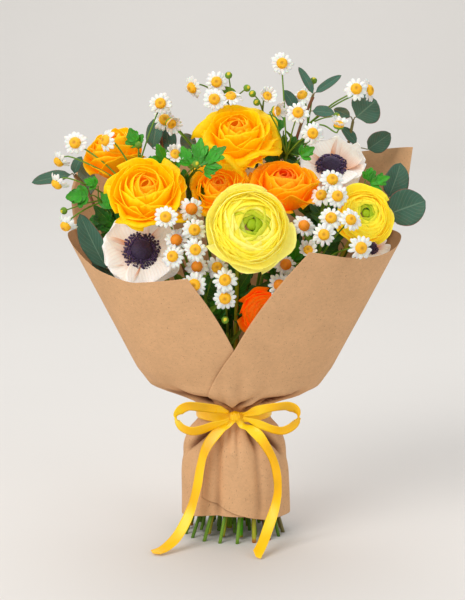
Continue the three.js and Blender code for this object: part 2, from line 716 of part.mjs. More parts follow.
// A flat strip along a route, its width turned across both the route and a direction.
function strip(route, steps, look) {
  const curve = new THREE.CatmullRomCurve3(route.map(ribbonPoint), false, "centripetal");
  const [front, back] = [[], []];
  for (let i = 0; i <= steps; i++) {
    const at = curve.getPointAt(i / steps);
    const along = curve.getTangentAt(i / steps);
    const across = look(along, i / steps).normalize().multiplyScalar(RIBBON_WIDTH / 2);
    const out = new THREE.Vector3().crossVectors(along, across).normalize().multiplyScalar(RIBBON_THICKNESS / 2);
    front.push([at.clone().add(across).add(out), at.clone().sub(across).add(out)]);
    back.push([at.clone().add(across).sub(out), at.clone().sub(across).sub(out)]);
  }
  return slab(front, back);
}

const FRONT = new THREE.Vector3(0, -1, 0);
const UP = new THREE.Vector3(0, 0, 1);

// A hanging stretch shows its face to the front, and a lying stretch shows it upwards.
function tailLook(along) {
  const steep = Math.abs(along.z);
  const face = FRONT.clone().multiplyScalar(steep).addScaledVector(UP, 1 - steep);
  return new THREE.Vector3().crossVectors(along, face);
}

const loopLook = (along) => FRONT.clone().addScaledVector(along, -along.dot(FRONT));

function bandSolid() {
  const shape = new THREE.Shape().absellipse(0, 0, bandOuter.x, bandOuter.y, 0, 2 * Math.PI);
  shape.holes.push(new THREE.Path().absellipse(0, 0, bandInner.x, bandInner.y, 0, 2 * Math.PI));
  const geometry = new THREE.ExtrudeGeometry(shape, { depth: RIBBON_WIDTH, bevelEnabled: false, curveSegments: 20 });
  geometry.translate(0, 0, TIE_HEIGHT - RIBBON_WIDTH / 2);
  return toSolid(geometry);
}

function knotSolid() {
  const geometry = new THREE.SphereGeometry(0.5, 12, 8);
  geometry.scale(KNOT.width, KNOT.depth, KNOT.height);
  geometry.translate(KNOT.x, -bandOuter.y - CLEARANCE - KNOT.depth / 2, TIE_HEIGHT + KNOT.z);
  return toSolid(geometry);
}

add("ribbon_band", bandSolid(), SATIN, 0.4);
add("ribbon_knot", knotSolid(), SATIN, 0.4);
add("ribbon_loop_left", strip(LEFT_LOOP, 20, loopLook), SATIN, 0.4);
add("ribbon_loop_right", strip(RIGHT_LOOP, 20, loopLook), SATIN, 0.4);
tails.push(add("ribbon_tail_left", strip(LEFT_TAIL, 12, tailLook), SATIN, 0.4));
tails.push(add("ribbon_tail_right", strip(RIGHT_TAIL, 12, tailLook), SATIN, 0.4));

// ---- Origin: the middle of the base of everything but the free ribbon tails ----

const bounds = new THREE.Box3();
group.children.filter((mesh) => !tails.includes(mesh)).forEach((mesh) => bounds.expandByObject(mesh));
const middle = bounds.getCenter(new THREE.Vector3());
group.children.forEach((mesh) => mesh.geometry.translate(-middle.x, -middle.y, 0));

export default group;
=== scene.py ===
"""A hand-tied bouquet in kraft paper, modelled as a Blender add-on and run as a script."""

import math
import random

import bmesh
import bpy
from bpy.props import FloatProperty, FloatVectorProperty, IntProperty, PointerProperty
from mathutils import Matrix, Vector, noise


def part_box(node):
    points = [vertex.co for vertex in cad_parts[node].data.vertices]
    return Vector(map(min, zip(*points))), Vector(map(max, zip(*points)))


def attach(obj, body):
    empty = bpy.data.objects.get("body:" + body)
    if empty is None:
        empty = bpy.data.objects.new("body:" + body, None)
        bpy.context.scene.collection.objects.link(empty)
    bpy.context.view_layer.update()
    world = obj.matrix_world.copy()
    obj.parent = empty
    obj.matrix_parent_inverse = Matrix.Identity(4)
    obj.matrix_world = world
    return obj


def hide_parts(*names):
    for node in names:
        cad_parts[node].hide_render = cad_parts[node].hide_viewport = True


bl_info = {
    "name": "Hand-tied bouquet",
    "version": (1, 0, 0),
    "blender": (4, 5, 0),
    "location": "3D View > Sidebar > Bouquet",
    "description": "Builds a wrapped bouquet of roses, ranunculus, anemones, chamomile and foliage",
    "category": "Add Mesh",
}

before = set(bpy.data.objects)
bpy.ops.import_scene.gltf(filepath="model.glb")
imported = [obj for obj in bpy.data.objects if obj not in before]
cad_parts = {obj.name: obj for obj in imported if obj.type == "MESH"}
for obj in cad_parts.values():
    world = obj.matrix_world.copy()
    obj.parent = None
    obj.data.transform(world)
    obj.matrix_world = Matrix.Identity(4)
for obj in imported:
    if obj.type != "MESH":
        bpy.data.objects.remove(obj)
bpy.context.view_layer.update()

# ---- The axis of the bundle, and places in millimetres from it: +X right, -Y front, +Z up ----

_low, _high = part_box("stem_binding")
AXIS = Vector(((_low[0] + _high[0]) / 2, (_low[1] + _high[1]) / 2, 0))
MM = 0.001
TIE_HEIGHT = 120
WAIST_RADIUS = (35.5, 32)


def place(point):
    return Vector(point) * MM + AXIS


def facing(turn, tilt):
    """The direction so many degrees right of the front and so many up."""
    a, b = math.radians(turn), math.radians(tilt)
    return Vector((math.sin(a) * math.cos(b), -math.cos(a) * math.cos(b), math.sin(b)))


# ---- Flowers: the middle of the bloom, degrees turned right and tilted up, radius and depth ----

ROSES = {
    "rose_left": dict(at=(-79, -54, 332), turn=5, tilt=43, radius=35, depth=38, warm=0.0, open=1.0),
    "rose_top": dict(at=(3, -8, 379), turn=-4, tilt=46, radius=31, depth=42, warm=0.04, open=1.9,
                     loose=[(12, 66, 0.9), (-22, 76, 1.1), (-58, 82, 1.1), (-95, 84, 1.0), (-135, 78, 0.8),
                            (48, 62, 0.7)]),
    "rose_back_left": dict(at=(-111, 6, 362), turn=-40, tilt=65, radius=29, depth=44, warm=0.45, open=0.6),
    "rose_middle": dict(at=(-14, -28, 334), turn=0, tilt=35, radius=26, depth=30, warm=0.5, open=1.1),
    "rose_right": dict(at=(46, -22, 334), turn=5, tilt=60, radius=32, depth=36, warm=0.85, open=1.1),
}
RANUNCULUS = {
    "ranunculus_front": dict(at=(13, -88, 308), turn=12, tilt=21, radius=39, depth=46, petals=64),
    "ranunculus_right": dict(at=(117, -42, 311), turn=12, tilt=24, radius=28, depth=38, petals=48),
    "ranunculus_low": dict(at=(24, -52, 226), turn=20, tilt=-4, radius=21, depth=32, petals=42),
}
ANEMONES = {
    "anemone_left": dict(at=(-84, -50, 281), turn=8, tilt=26, radius=35.5, depth=16, boss=13),
    "anemone_top": dict(at=(91, 14, 351), turn=0, tilt=48, radius=32, depth=16, boss=12),
    "anemone_edge": dict(at=(125, -22, 280), turn=30, tilt=40, radius=19, depth=11, boss=7),
}

# ---- Chamomile: each stalk's fork, open heads (x, y, z, turn, tilt), buds and small leaves ----

SPRAYS = [
    dict(fork=(-98, -24, 338), heads=[(-145, -20, 376, -10, 15), (-161, -10, 358, -60, -40)]),
    dict(fork=(-90, -26, 346), heads=[(-68, 5, 410, 0, 12), (-116, -27, 379, -50, 10)],
         buds=[(-87, -22, 374)]),
    dict(fork=(-36, 10, 366), heads=[(-58, -10, 393, 35, -20), (-65, 18, 394, 15, 10)]),
    dict(fork=(-112, -14, 324), heads=[(-160, -40, 341, -60, -45), (-152, -50, 304, -35, -40)],
         buds=[(-154, -45, 317)]),
    dict(fork=(-54, -14, 334), heads=[(-53, -44, 368, 5, 20)], buds=[(-34, -61, 361)]),
    dict(fork=(-4, 36, 407), heads=[(-38, 2, 425, -50, -20), (-16, 0, 430, 0, 10), (-18, -12, 415, 0, 15),
                                    (-3, -8, 417, 0, 60)],
         buds=[(12, 6, 424), (-5, 2, 436)], leaves=[((2, 6, 417), (-10, 4, 425), 8)]),
    dict(fork=(27, 34, 401), heads=[(30, -5, 417, 20, 25)], buds=[(17, 4, 419), (21, 6, 411)]),
    dict(fork=(49, 6, 362), heads=[(44, 0, 447, 0, 10), (38, -22, 405, 50, 5), (58, -25, 404, 0, 15),
                                   (71, -34, 386, 5, 10)]),
    dict(fork=(70, 37, 388), heads=[(64, 22, 416, -30, 45), (112, -5, 424, 0, 20), (124, 4, 422, 60, 15),
                                    (96, -10, 391, 20, 70)],
         buds=[(74, 20, 430), (95, 9, 398)]),
    dict(fork=(78, -38, 303), heads=[(88, -52, 346, 10, 30), (79, -44, 331, -20, 30),
                                     (92, -66, 333, 10, 20)]),
    dict(fork=(74, -52, 268), heads=[(86, -78, 315, -10, 25), (79, -90, 302, 0, 12), (103, -82, 314, 15, 25),
                                     (66, -72, 285, 0, 30), (62, -72, 307, 15, 30), (111, -100, 292, 15, 0),
                                     (40, -86, 256, 15, 20), (46, -72, 272, 15, 30)]),
    dict(fork=(-40, -44, 262), heads=[(-60, -92, 318, -5, 20), (-38, -70, 322, 10, 20),
                                      (-35, -88, 306, 10, 10),
                                      (-51, -82, 296, -10, 20)]),
    dict(fork=(-26, -44, 236), heads=[(-34, -98, 290, 5, 10), (-54, -92, 283, -20, 15),
                                      (-33, -82, 272, 0, 20),
                                      (-15, -80, 271, 0, 10), (-35, -94, 258, -5, 0)]),
    dict(fork=(-6, -44, 204), heads=[(-8, -94, 246, 0, -5), (-8, -98, 263, 0, 15)], buds=[(-8, -84, 224)]),
]
# Heads that are still young, and heads whose disc has turned orange, by their places.
YOUNG_HEADS = {(-53, -44, 368), (38, -22, 405), (30, -5, 417), (-58, -10, 393), (96, -10, 391),
               (66, -72, 285)}
DEEP_HEADS = {(-38, -70, 322), (-51, -82, 296), (62, -72, 307), (-33, -82, 272), (40, -86, 256),
              (46, -72, 272)}

# ---- Foliage: the stalk's points above the tie, then each leaf's base, tip and width ----

EUCALYPTUS = {
    "eucalyptus_left": dict(
        stalk=[(-108, -8, 243), (-127, 2, 306), (-140, 6, 334), (-149, 6, 343)],
        leaves=[((-117, -34, 262), (-143, -34, 311), 23), ((-108, -26, 240), (-130, -22, 277), 20),
                ((-152, 6, 344), (-190, 8, 338), 13), ((-149, 6, 345), (-143, 9, 361), 12),
                ((-134, 16, 324), (-141, 16, 358), 18)]),
    "eucalyptus_back_left": dict(
        stalk=[(-63, 20, 310), (-66, 30, 352), (-69, 32, 376)],
        leaves=[((-77, 30, 366), (-72, 32, 397), 17), ((-60, 32, 363), (-65, 36, 386), 17),
                ((-38, 35, 364), (-49, 37, 379), 15)]),
    "eucalyptus_top": dict(
        stalk=[(50, 22, 334), (61, 12, 386), (73, 4, 416)],
        leaves=[((73, 3, 419), (61, 2, 444), 8), ((75, 3, 420), (98, 2, 437), 8),
                ((58, 14, 403), (47, 12, 422), 12),
                ((72, -6, 404), (92, -9, 403), 12), ((45, 26, 356), (38, 30, 376), 15)]),
    "eucalyptus_right_upper": dict(
        stalk=[(98, 46, 324), (108, 42, 366), (112, 31, 391)],
        leaves=[((114, 20, 396), (133, 22, 412), 32), ((127, 40, 364), (148, 36, 379), 20),
                ((116, 36, 370), (102, 32, 386), 11), ((109, 26, 396), (94, 26, 404), 10)]),
    "eucalyptus_right": dict(
        stalk=[(98, 4, 240), (130, 8, 290), (145, 10, 318)],
        leaves=[((145, 12, 322), (158, 12, 353), 27), ((142, -6, 308), (179, -2, 321), 35)]),
}
FOLIAGE = {
    "foliage_left": dict(
        stalk=[(-99, -12, 274), (-116, -20, 312), (-124, -28, 326)],
        leaves=[((-131, -34, 329), (-153, -38, 329), 18), ((-124, -30, 338), (-136, -34, 344), 10),
                ((-116, -28, 314), (-117, -30, 337), 10), ((-118, -16, 306), (-136, -14, 302), 13)]),
    "foliage_centre": dict(
        stalk=[(-72, -2, 300), (-79, -10, 338), (-87, -14, 366)],
        leaves=[((-82, -16, 345), (-70, -20, 366), 10), ((-88, -14, 371), (-96, -14, 389), 14),
                ((-56, -16, 344), (-70, -26, 375), 17)]),
    "foliage_top": dict(
        stalk=[(-40, -10, 300), (-42, -26, 341), (-36, -42, 352)],
        leaves=[((-32, -52, 356), (-30, -50, 384), 13), ((-28, -52, 358), (-8, -58, 377), 13),
                ((-28, -54, 353), (-14, -60, 357), 8), ((-38, -50, 358), (-47, -50, 376), 12)]),
    "foliage_right": dict(
        stalk=[(112, -2, 287), (118, -10, 325), (120, -16, 337)],
        leaves=[((123, -18, 338), (143, -20, 345), 10), ((121, -18, 341), (127, -16, 353), 11)]),
    "foliage_upper": dict(
        stalk=[(36, 22, 312), (42, 22, 354), (46, 14, 379)],
        leaves=[((46, 12, 384), (30, 14, 400), 12), ((60, -6, 362), (74, -10, 371), 10)]),
    "foliage_inner": dict(
        stalk=[(34, 2, 204), (46, -4, 233), (55, -12, 256)],
        leaves=[((55, -20, 258), (58, -34, 288), 16), ((46, -22, 238), (50, -34, 262), 13)]),
    "foliage_low": dict(
        stalk=[(-2, -12, 180), (-2, -18, 204), (-4, -24, 226)],
        leaves=[((-14, -32, 212), (-20, -38, 234), 12), ((-6, -24, 229), (-8, -24, 250), 12)]),
}
# Leaves inside the bunch, behind the blooms, on the foliage stalks: base, tip and width; a low tone darkens
# them as painted shade.
INNER_LEAVES = {
    "foliage_inner": [((50, -16, 244), (72, -40, 262), 17), ((46, -10, 236), (34, -38, 270), 18),
                      ((55, -14, 256), (84, -36, 290), 18), ((52, -10, 250), (40, -34, 296), 19),
                      ((48, -6, 240), (62, -4, 290), 22), ((54, -10, 254), (74, -10, 276), 20)],
    "foliage_low": [((-3, -20, 214), (12, -46, 236), 17), ((-2, -16, 200), (-22, -44, 214), 16),
                    ((-4, -24, 226), (14, -50, 262), 18), ((-4, -24, 224), (-30, -40, 256), 18),
                    ((-4, -22, 220), (-36, -30, 268), 22), ((-3, -20, 216), (2, -40, 276), 22),
                    ((-2, -18, 206), (30, -36, 250), 20), ((-4, -20, 214), (-44, -36, 258), 24),
                    ((-3, -20, 212), (-30, -46, 238), 20)],
    "foliage_centre": [((-78, -8, 332), (-96, -22, 350), 16), ((-74, -4, 310), (-54, -28, 330), 17)],
    "foliage_upper": [((42, 22, 350), (24, 8, 372), 17), ((43, 20, 358), (66, 4, 376), 16),
                      ((40, 22, 336), (70, 6, 348), 18)],
    "foliage_top": [((-42, -24, 338), (-58, -34, 350), 14), ((-41, -18, 322), (-26, -40, 336), 15)],
    "foliage_right": [((116, -6, 310), (138, -14, 328), 15), ((114, -4, 298), (96, -20, 318), 16),
                      ((106, -8, 290), (72, -24, 312), 20), ((100, -8, 276), (68, -26, 292), 20),
                      ((110, -4, 296), (84, 4, 330), 20), ((98, -6, 284), (70, -10, 326), 24),
                      ((102, -4, 296), (60, -6, 316), 22)],
    "foliage_left": [((-108, -16, 296), (-128, -26, 318), 16), ((-104, -14, 286), (-122, -28, 292), 15)],
}

# ---- The bundle of stems ----

STEM_WIDTHS = dict(rose=4.8, ranunculus=4, anemone=4, chamomile=3, eucalyptus=3.2, foliage=3)
RING_PITCH = 5.9
RING_SIZES = (1, 6, 12, 18)
FOOT_RADII = (5, 16, 30, 44)
FOOT_SPREAD = (1.1, 0.88)
FOOT_FORWARD = 4
SPIRAL_TURN = math.radians(-48)
RAISED_END = 2.5

# ---- Paper: height, then half width, front depth and back depth of the wrap; then each sheet's outline ----

WRAP = [
    (0, 54, 48, 41), (60, 53, 45, 41), (90, 50, 41, 39.5), (104, 44, 35.5, 35.5),
    (113, 35.5, 32, 32), (127, 35.5, 32, 32), (132, 48, 38, 38), (137, 67, 51, 48), (144, 81, 59, 54),
    (163, 94, 68, 61), (195, 110, 83, 70), (289, 157, 121, 92), (325, 178, 134, 100), (367, 188, 142, 108),
]
LEFT_EDGE = [(0, 38), (120, 32), (140, 27), (195, 0), (265, -22)]
RIGHT_EDGE = [(0, -42), (38, -40), (120, -32), (140, -27), (195, 0), (290, 31)]
OUTER_RIM = [(-360, 290), (-329, 290), (-311, 281), (-295, 278), (-281, 282), (-270, 288), (-180, 300),
             (-90, 289), (-80, 281), (-67, 265), (-49, 257), (-22, 265), (0, 268), (40, 268)]
OUTER_HEM = [(-400, 45), (-360, 31), (-322, 22), (-270, 20), (-180, 18), (-90, 19), (-30, 27), (40, 28)]
BACK_RIGHT_EDGE = [(127, 112), (289, 98), (325, 101), (367, 103)]
BACK_LEFT_EDGE = [(127, 246), (235, 252), (289, 262), (345, 250)]
BACK_RIM = [(103, 367), (135, 352), (180, 348), (225, 346), (250, 345)]
BACK_HEM = 64
LAP_GAP = 2.4
SHEET_GAP = 4.2

# ---- Ribbon: routes from the knot ----

RIBBON_WIDTH = 10
TAIL_TWIST = math.radians(44)
KNOT = dict(x=1, z=123, width=11, depth=8, height=10)
LEFT_LOOP = [(-5, -38, 126), (-16, -46, 132), (-33, -52, 136), (-43, -51, 136), (-50, -48, 131),
             (-53, -46, 124),
             (-49, -45, 115), (-40, -45, 111), (-31, -45, 112), (-19, -43, 116), (-5, -39, 121)]
RIGHT_LOOP = [(8, -38, 125), (15, -43, 128), (26, -50, 133), (41, -51, 136), (50, -49, 136), (57, -46, 131),
              (59, -45, 124), (55, -44, 116), (46, -44, 111), (37, -44, 112), (26, -43, 116), (8, -39, 121)]
LEFT_TAIL = [(0, -38.5, 121), (-5, -38, 116), (-12, -40, 112), (-22, -43, 101), (-28, -45, 90),
             (-32, -46, 74), (-34, -48, 60),
             (-39, -50, 41), (-46, -56, 25), (-54, -63, 13), (-64, -70, 6), (-75, -75, 3)]
RIGHT_TAIL = [(2, -38.5, 121), (6, -38, 116), (14, -40, 113), (23, -43, 106), (30, -45, 96), (36, -46, 84),
              (40, -47, 69),
              (41, -48, 54), (38, -52, 39), (32, -61, 23), (26, -74, 11), (20, -85, 3)]


# ---- What a user may change ----


FULL_TURN = 6.283  # radians, where a wave repeats


def srgb(red, green, blue):
    """Linear colour from 0 to 255 display values."""
    return tuple(v / 255 / 12.92 if v <= 10 else ((v / 255 + 0.055) / 1.055) ** 2.4
                 for v in (red, green, blue))


def colour_property(name, description, default):
    return FloatVectorProperty(
        name=name, description=description, default=srgb(*default), size=3, subtype="COLOR", min=0, max=1
    )


class BouquetColours(bpy.types.PropertyGroup):
    rose_rim: colour_property("Rose rim", "Petal rims of the yellow roses", (255, 206, 6))
    # The heart colours deepen the petals towards the depths of the blooms: partly the petals' own colour,
    # partly painted shade.
    rose_heart: colour_property("Rose heart", "Depths between the rose petals", (255, 166, 0))
    orange_rim: colour_property("Orange rim", "Petal rims of the orange blooms", (255, 172, 14))
    orange_heart: colour_property("Orange heart", "Depths of the orange blooms", (250, 96, 2))
    lemon: colour_property("Lemon", "Ranunculus petals", (246, 230, 66))
    lemon_pale: colour_property("Pale lemon", "Outer ranunculus petals", (248, 244, 148))
    lime: colour_property("Lime eye", "Middle of the lemon ranunculus", (150, 178, 16))
    cream: colour_property("Cream", "Anemone petals", (248, 238, 224))
    blush: colour_property("Blush", "Foot of the anemone petals", (226, 158, 120))
    plum: colour_property("Plum", "Anemone boss and stamens", (58, 34, 76))
    ray_white: colour_property("Ray white", "Chamomile ray petals", (250, 248, 242))
    disc_yellow: colour_property("Disc yellow", "Chamomile discs", (255, 184, 4))
    leaf_green: colour_property("Leaf green", "Lobed foliage", (46, 166, 0))
    stalk_green: colour_property("Stalk green", "Stalks and cut stems", (134, 166, 14))
    blue_green: colour_property("Blue green", "Eucalyptus leaves", (58, 104, 84))
    kraft: colour_property("Kraft", "Wrapping paper", (215, 169, 124))
    satin: colour_property("Satin", "Ribbon", (255, 192, 0))
    floor: colour_property("Floor", "Floor and backdrop", (223, 220, 216))


class BouquetSizes(bpy.types.PropertyGroup):
    petal_thickness: FloatProperty(
        name="Petal thickness", description="Thickness of a petal", default=0.35 * MM, unit="LENGTH",
        precision=5
    )
    paper_thickness: FloatProperty(
        name="Paper thickness", description="Thickness of the kraft paper", default=0.5 * MM, unit="LENGTH",
        precision=5
    )
    ribbon_thickness: FloatProperty(
        name="Ribbon thickness", description="Thickness of the satin", default=0.45 * MM, unit="LENGTH",
        precision=5
    )
    head_radius: FloatProperty(
        name="Head radius", description="Radius of an open chamomile head", default=11.5 * MM,
        unit="LENGTH", precision=4
    )
    ray_count: IntProperty(name="Ray petals", description="Ray petals of a chamomile head", default=14,
                           min=8, max=30)
    pleat_count: IntProperty(name="Pleats", description="Gathers of the paper at the tie", default=17,
                             min=6, max=40)
    pleat_depth: FloatProperty(
        name="Pleat depth", description="Depth of a gather at the tie", default=3.4 * MM, unit="LENGTH",
        precision=4
    )


def sizes():
    return bpy.context.scene.bouquet_sizes


def colours():
    return bpy.context.scene.bouquet_colours


# ---- Numbers, curves and meshes ----


def lookup(table, key, column=1):
    """The value of a piecewise table at a key, eased so that it has no corner inside a span."""
    if key <= table[0][0]:
        return table[0][column]
    for low, high in zip(table, table[1:]):
        if key <= high[0]:
            return low[column] + (high[column] - low[column]) * (key - low[0]) / (high[0] - low[0])
    return table[-1][column]


def smooth_lookup(table, key, reach, column=1):
    """The same table with its corners rounded over a reach on either side."""
    return sum(lookup(table, key + k * reach, column) for k in (-1, -0.5, 0, 0.5, 1)) / 5


def ease(low, high, value):
    t = min(max((value - low) / (high - low), 0), 1)
    return t * t * (3 - 2 * t)


def bump(value, middle, width):
    return math.exp(-(((value - middle) / width) ** 2))


def through(points, count):
    """Points close together along a smooth centripetal curve through a few given ones."""
    points = [Vector(p) for p in points]
    ends = [points[0] * 2 - points[1], *points, points[-1] * 2 - points[-2]]
    fine = []
    for p0, p1, p2, p3 in zip(ends, ends[1:], ends[2:], ends[3:]):
        gaps = [max((b - a).length, 1e-9) ** 0.5 for a, b in ((p0, p1), (p1, p2), (p2, p3))]
        enter = ((p1 - p0) / gaps[0] - (p2 - p0) / (gaps[0] + gaps[1]) + (p2 - p1) / gaps[1]) * gaps[1]
        leave = ((p2 - p1) / gaps[1] - (p3 - p1) / (gaps[1] + gaps[2]) + (p3 - p2) / gaps[2]) * gaps[1]
        for k in range(16):
            t = k / 16
            fine.append(p1 * (2 * t**3 - 3 * t**2 + 1) + p2 * (3 * t**2 - 2 * t**3)
                        + enter * (t**3 - 2 * t**2 + t) + leave * (t**3 - t**2))
    fine.append(points[-1])
    spans = [(b - a).length for a, b in zip(fine, fine[1:])]
    total, walked, i, made = sum(spans), 0.0, 0, []
    for k in range(count):
        target = total * k / (count - 1)
        while i < len(spans) - 1 and walked + spans[i] < target:
            walked += spans[i]
            i += 1
        made.append(fine[i].lerp(fine[i + 1], min(1, (target - walked) / max(spans[i], 1e-9))))
    return made


def stand(base, axis, spin=0.0):
    """The matrix that stands something made along +Z on a base point, with its +Y side turned upwards."""
    axis = axis.normalized()
    side = Vector((0, 0, 1)).cross(axis)
    side = side.normalized() if side.length > 1e-4 else Vector((1, 0, 0))
    up = axis.cross(side)
    turned = Matrix((side, up, axis)).transposed().to_4x4() @ Matrix.Rotation(spin, 4, "Z")
    return Matrix.Translation(base) @ turned


class Mesh:
    """A mesh under construction, with a map for patterns and two values for each part of a plant."""

    def __init__(self):
        self.bm = bmesh.new()
        self.bm.loops.layers.uv.new("Pattern")
        self.bm.verts.layers.float.new("ring")
        self.bm.verts.layers.float.new("tone")

    def grid(self, columns, rows, put, ring=0.5, tone=0.5, material=0):
        """A grid placed by a function of across, from -1 to 1, and along, from 0 to 1."""
        made = bmesh.ops.create_grid(self.bm, x_segments=columns, y_segments=rows, size=1,
                                     calc_uvs=True)["verts"]
        self._mark(made, ring, tone, material)
        for vert in made:
            vert.co = put(vert.co.x, (vert.co.y + 1) / 2)
        return made

    def ball(self, centre, radius, squash=1.0, axis=None, detail=1, ring=0.5, tone=0.5, material=0):
        made = bmesh.ops.create_icosphere(self.bm, subdivisions=detail, radius=radius, calc_uvs=True)["verts"]
        self._mark(made, ring, tone, material)
        matrix = stand(Vector(centre), axis or Vector((0, 0, 1)))
        for vert in made:
            vert.co = matrix @ Vector((vert.co.x, vert.co.y, vert.co.z * squash))
        return made

    def _mark(self, verts, ring, tone, material):
        values = self.bm.verts.layers.float
        for vert in verts:
            vert[values["ring"]] = ring
            vert[values["tone"]] = tone
            for face in vert.link_faces:
                face.material_index = material
                face.smooth = True

    def thicken(self, thickness):
        """Gives every sheet so far its thickness, with all faces outwards."""
        bmesh.ops.solidify(self.bm, geom=self.bm.faces[:], thickness=thickness)
        if self.bm.calc_volume(signed=True) < 0:
            bmesh.ops.reverse_faces(self.bm, faces=self.bm.faces[:])
        for face in self.bm.faces:
            face.smooth = True

    def tubes(self, routes, ring=0.5, tone=0.5, material=0, resolution=2):
        """Round tubes along routes, each a list of points in metres and the radii at its two ends."""
        curve = bpy.data.curves.new("route", "CURVE")
        curve.dimensions = "3D"
        curve.bevel_depth = 1
        curve.bevel_resolution = resolution
        curve.use_fill_caps = True
        for points, first, last in routes:
            spline = curve.splines.new("POLY")
            spline.points.add(len(points) - 1)
            for i, (at, point) in enumerate(zip(points, spline.points)):
                point.co = (*at, 1)
                point.radius = first + (last - first) * i / (len(points) - 1)
        holder = bpy.data.objects.new("route", curve)
        bpy.context.scene.collection.objects.link(holder)
        graph = bpy.context.evaluated_depsgraph_get()
        mesh = bpy.data.meshes.new_from_object(holder.evaluated_get(graph))
        part = Mesh()
        part.bm.from_mesh(mesh)
        part._mark(part.bm.verts, ring, tone, material)
        bpy.data.objects.remove(holder)
        bpy.data.curves.remove(curve)
        bpy.data.meshes.remove(mesh)
        self.join(part)

    def join(self, part):
        """Takes in another mesh under construction."""
        made = part.finish()
        self.bm.from_mesh(made)
        bpy.data.meshes.remove(made)

    def copy_of(self, other, matrix):
        """Adds a finished mesh, moved by a matrix."""
        moved = other.copy()
        moved.transform(matrix)
        self.bm.from_mesh(moved)
        bpy.data.meshes.remove(moved)

    def flat_foot(self, height):
        """Cuts the stem straight across at a height and closes the cut."""
        cut = bmesh.ops.bisect_plane(
            self.bm, geom=self.bm.verts[:] + self.bm.edges[:] + self.bm.faces[:], plane_co=(0, 0, height),
            plane_no=(0, 0, -1), clear_outer=True,
        )
        edges = [e for e in cut["geom_cut"] if isinstance(e, bmesh.types.BMEdge)]
        bmesh.ops.holes_fill(self.bm, edges=edges, sides=0)

    def finish(self):
        mesh = bpy.data.meshes.new("part")
        self.bm.to_mesh(mesh)
        self.bm.free()
        return mesh


def add_piece(name, mesh, materials, slot, *nodes):
    """Puts a finished mesh in the scene as a piece that stands for its CAD nodes."""
    mesh.name = name
    piece = bpy.data.objects.new(name, mesh)
    bpy.context.scene.collection.objects.link(piece)
    for material in materials:
        mesh.materials.append(material)
    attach(piece, "root")
    if nodes:
        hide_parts(*nodes)
    return piece


# ---- Materials ----


class Finish:
    """A procedural material on the principled shader."""

    def __init__(self, name, **sockets):
        self.material = bpy.data.materials.new(name)
        self.material.use_nodes = True
        self.nodes = self.material.node_tree.nodes
        self.links = self.material.node_tree.links
        self.shader = self.nodes["Principled BSDF"]
        for key, value in sockets.items():
            self.shader.inputs[key.replace("_", " ")].default_value = value

    def node(self, kind, inputs=None, **settings):
        made = self.nodes.new("ShaderNode" + kind)
        for key, value in settings.items():
            setattr(made, key, value)
        for key, value in (inputs or {}).items():
            self.feed(value, made.inputs[key])
        return made

    def feed(self, value, socket):
        if isinstance(value, bpy.types.NodeSocket):
            self.links.new(value, socket)
        else:
            socket.default_value = (*value, 1) if hasattr(value, "__len__") and len(value) == 3 and \
                socket.type == "RGBA" else value

    def mix(self, factor, first, second, blend="MIX"):
        node = self.node("Mix", data_type="RGBA", blend_type=blend)
        self.feed(factor, node.inputs[0])
        self.feed(first, node.inputs[6])
        self.feed(second, node.inputs[7])
        return node.outputs[2]

    def math(self, operation, first, second=0.0, clamp=False):
        node = self.node("Math", {0: first, 1: second}, operation=operation)
        node.use_clamp = clamp
        return node.outputs[0]

    def ramp(self, factor, *stops):
        node = self.node("ValToRGB", {0: factor})
        band = node.color_ramp
        while len(band.elements) < len(stops):
            band.elements.new(0.5)
        for element, (position, colour) in zip(band.elements, stops):
            element.position = position
            element.color = (*colour, 1) if hasattr(colour, "__len__") else (colour, colour, colour, 1)
        return node.outputs[0]

    def noise(self, scale, detail=3.0, roughness=0.5, vector=None, stretch=None):
        vector = vector or self.node("TexCoord").outputs["Object"]
        if stretch:
            vector = self.node("Mapping", {0: vector, "Scale": stretch}).outputs[0]
        return self.node(
            "TexNoise", {"Vector": vector, "Scale": scale, "Detail": detail, "Roughness": roughness}
        ).outputs[0]

    def value(self, name):
        return self.node("Attribute", attribute_name=name).outputs["Fac"]

    def pattern(self):
        """The piece's own map, as its across and along values."""
        split = self.node("SeparateXYZ", {0: self.node("UVMap", uv_map="Pattern").outputs[0]})
        return split.outputs[0], split.outputs[1]

    def colour(self, value):
        self.feed(value, self.shader.inputs["Base Color"])

    def rough(self, value):
        self.feed(value, self.shader.inputs["Roughness"])

    def relief(self, height, strength, distance):
        bumped = self.node("Bump", {"Height": height, "Strength": strength, "Distance": distance})
        self.links.new(bumped.outputs[0], self.shader.inputs["Normal"])


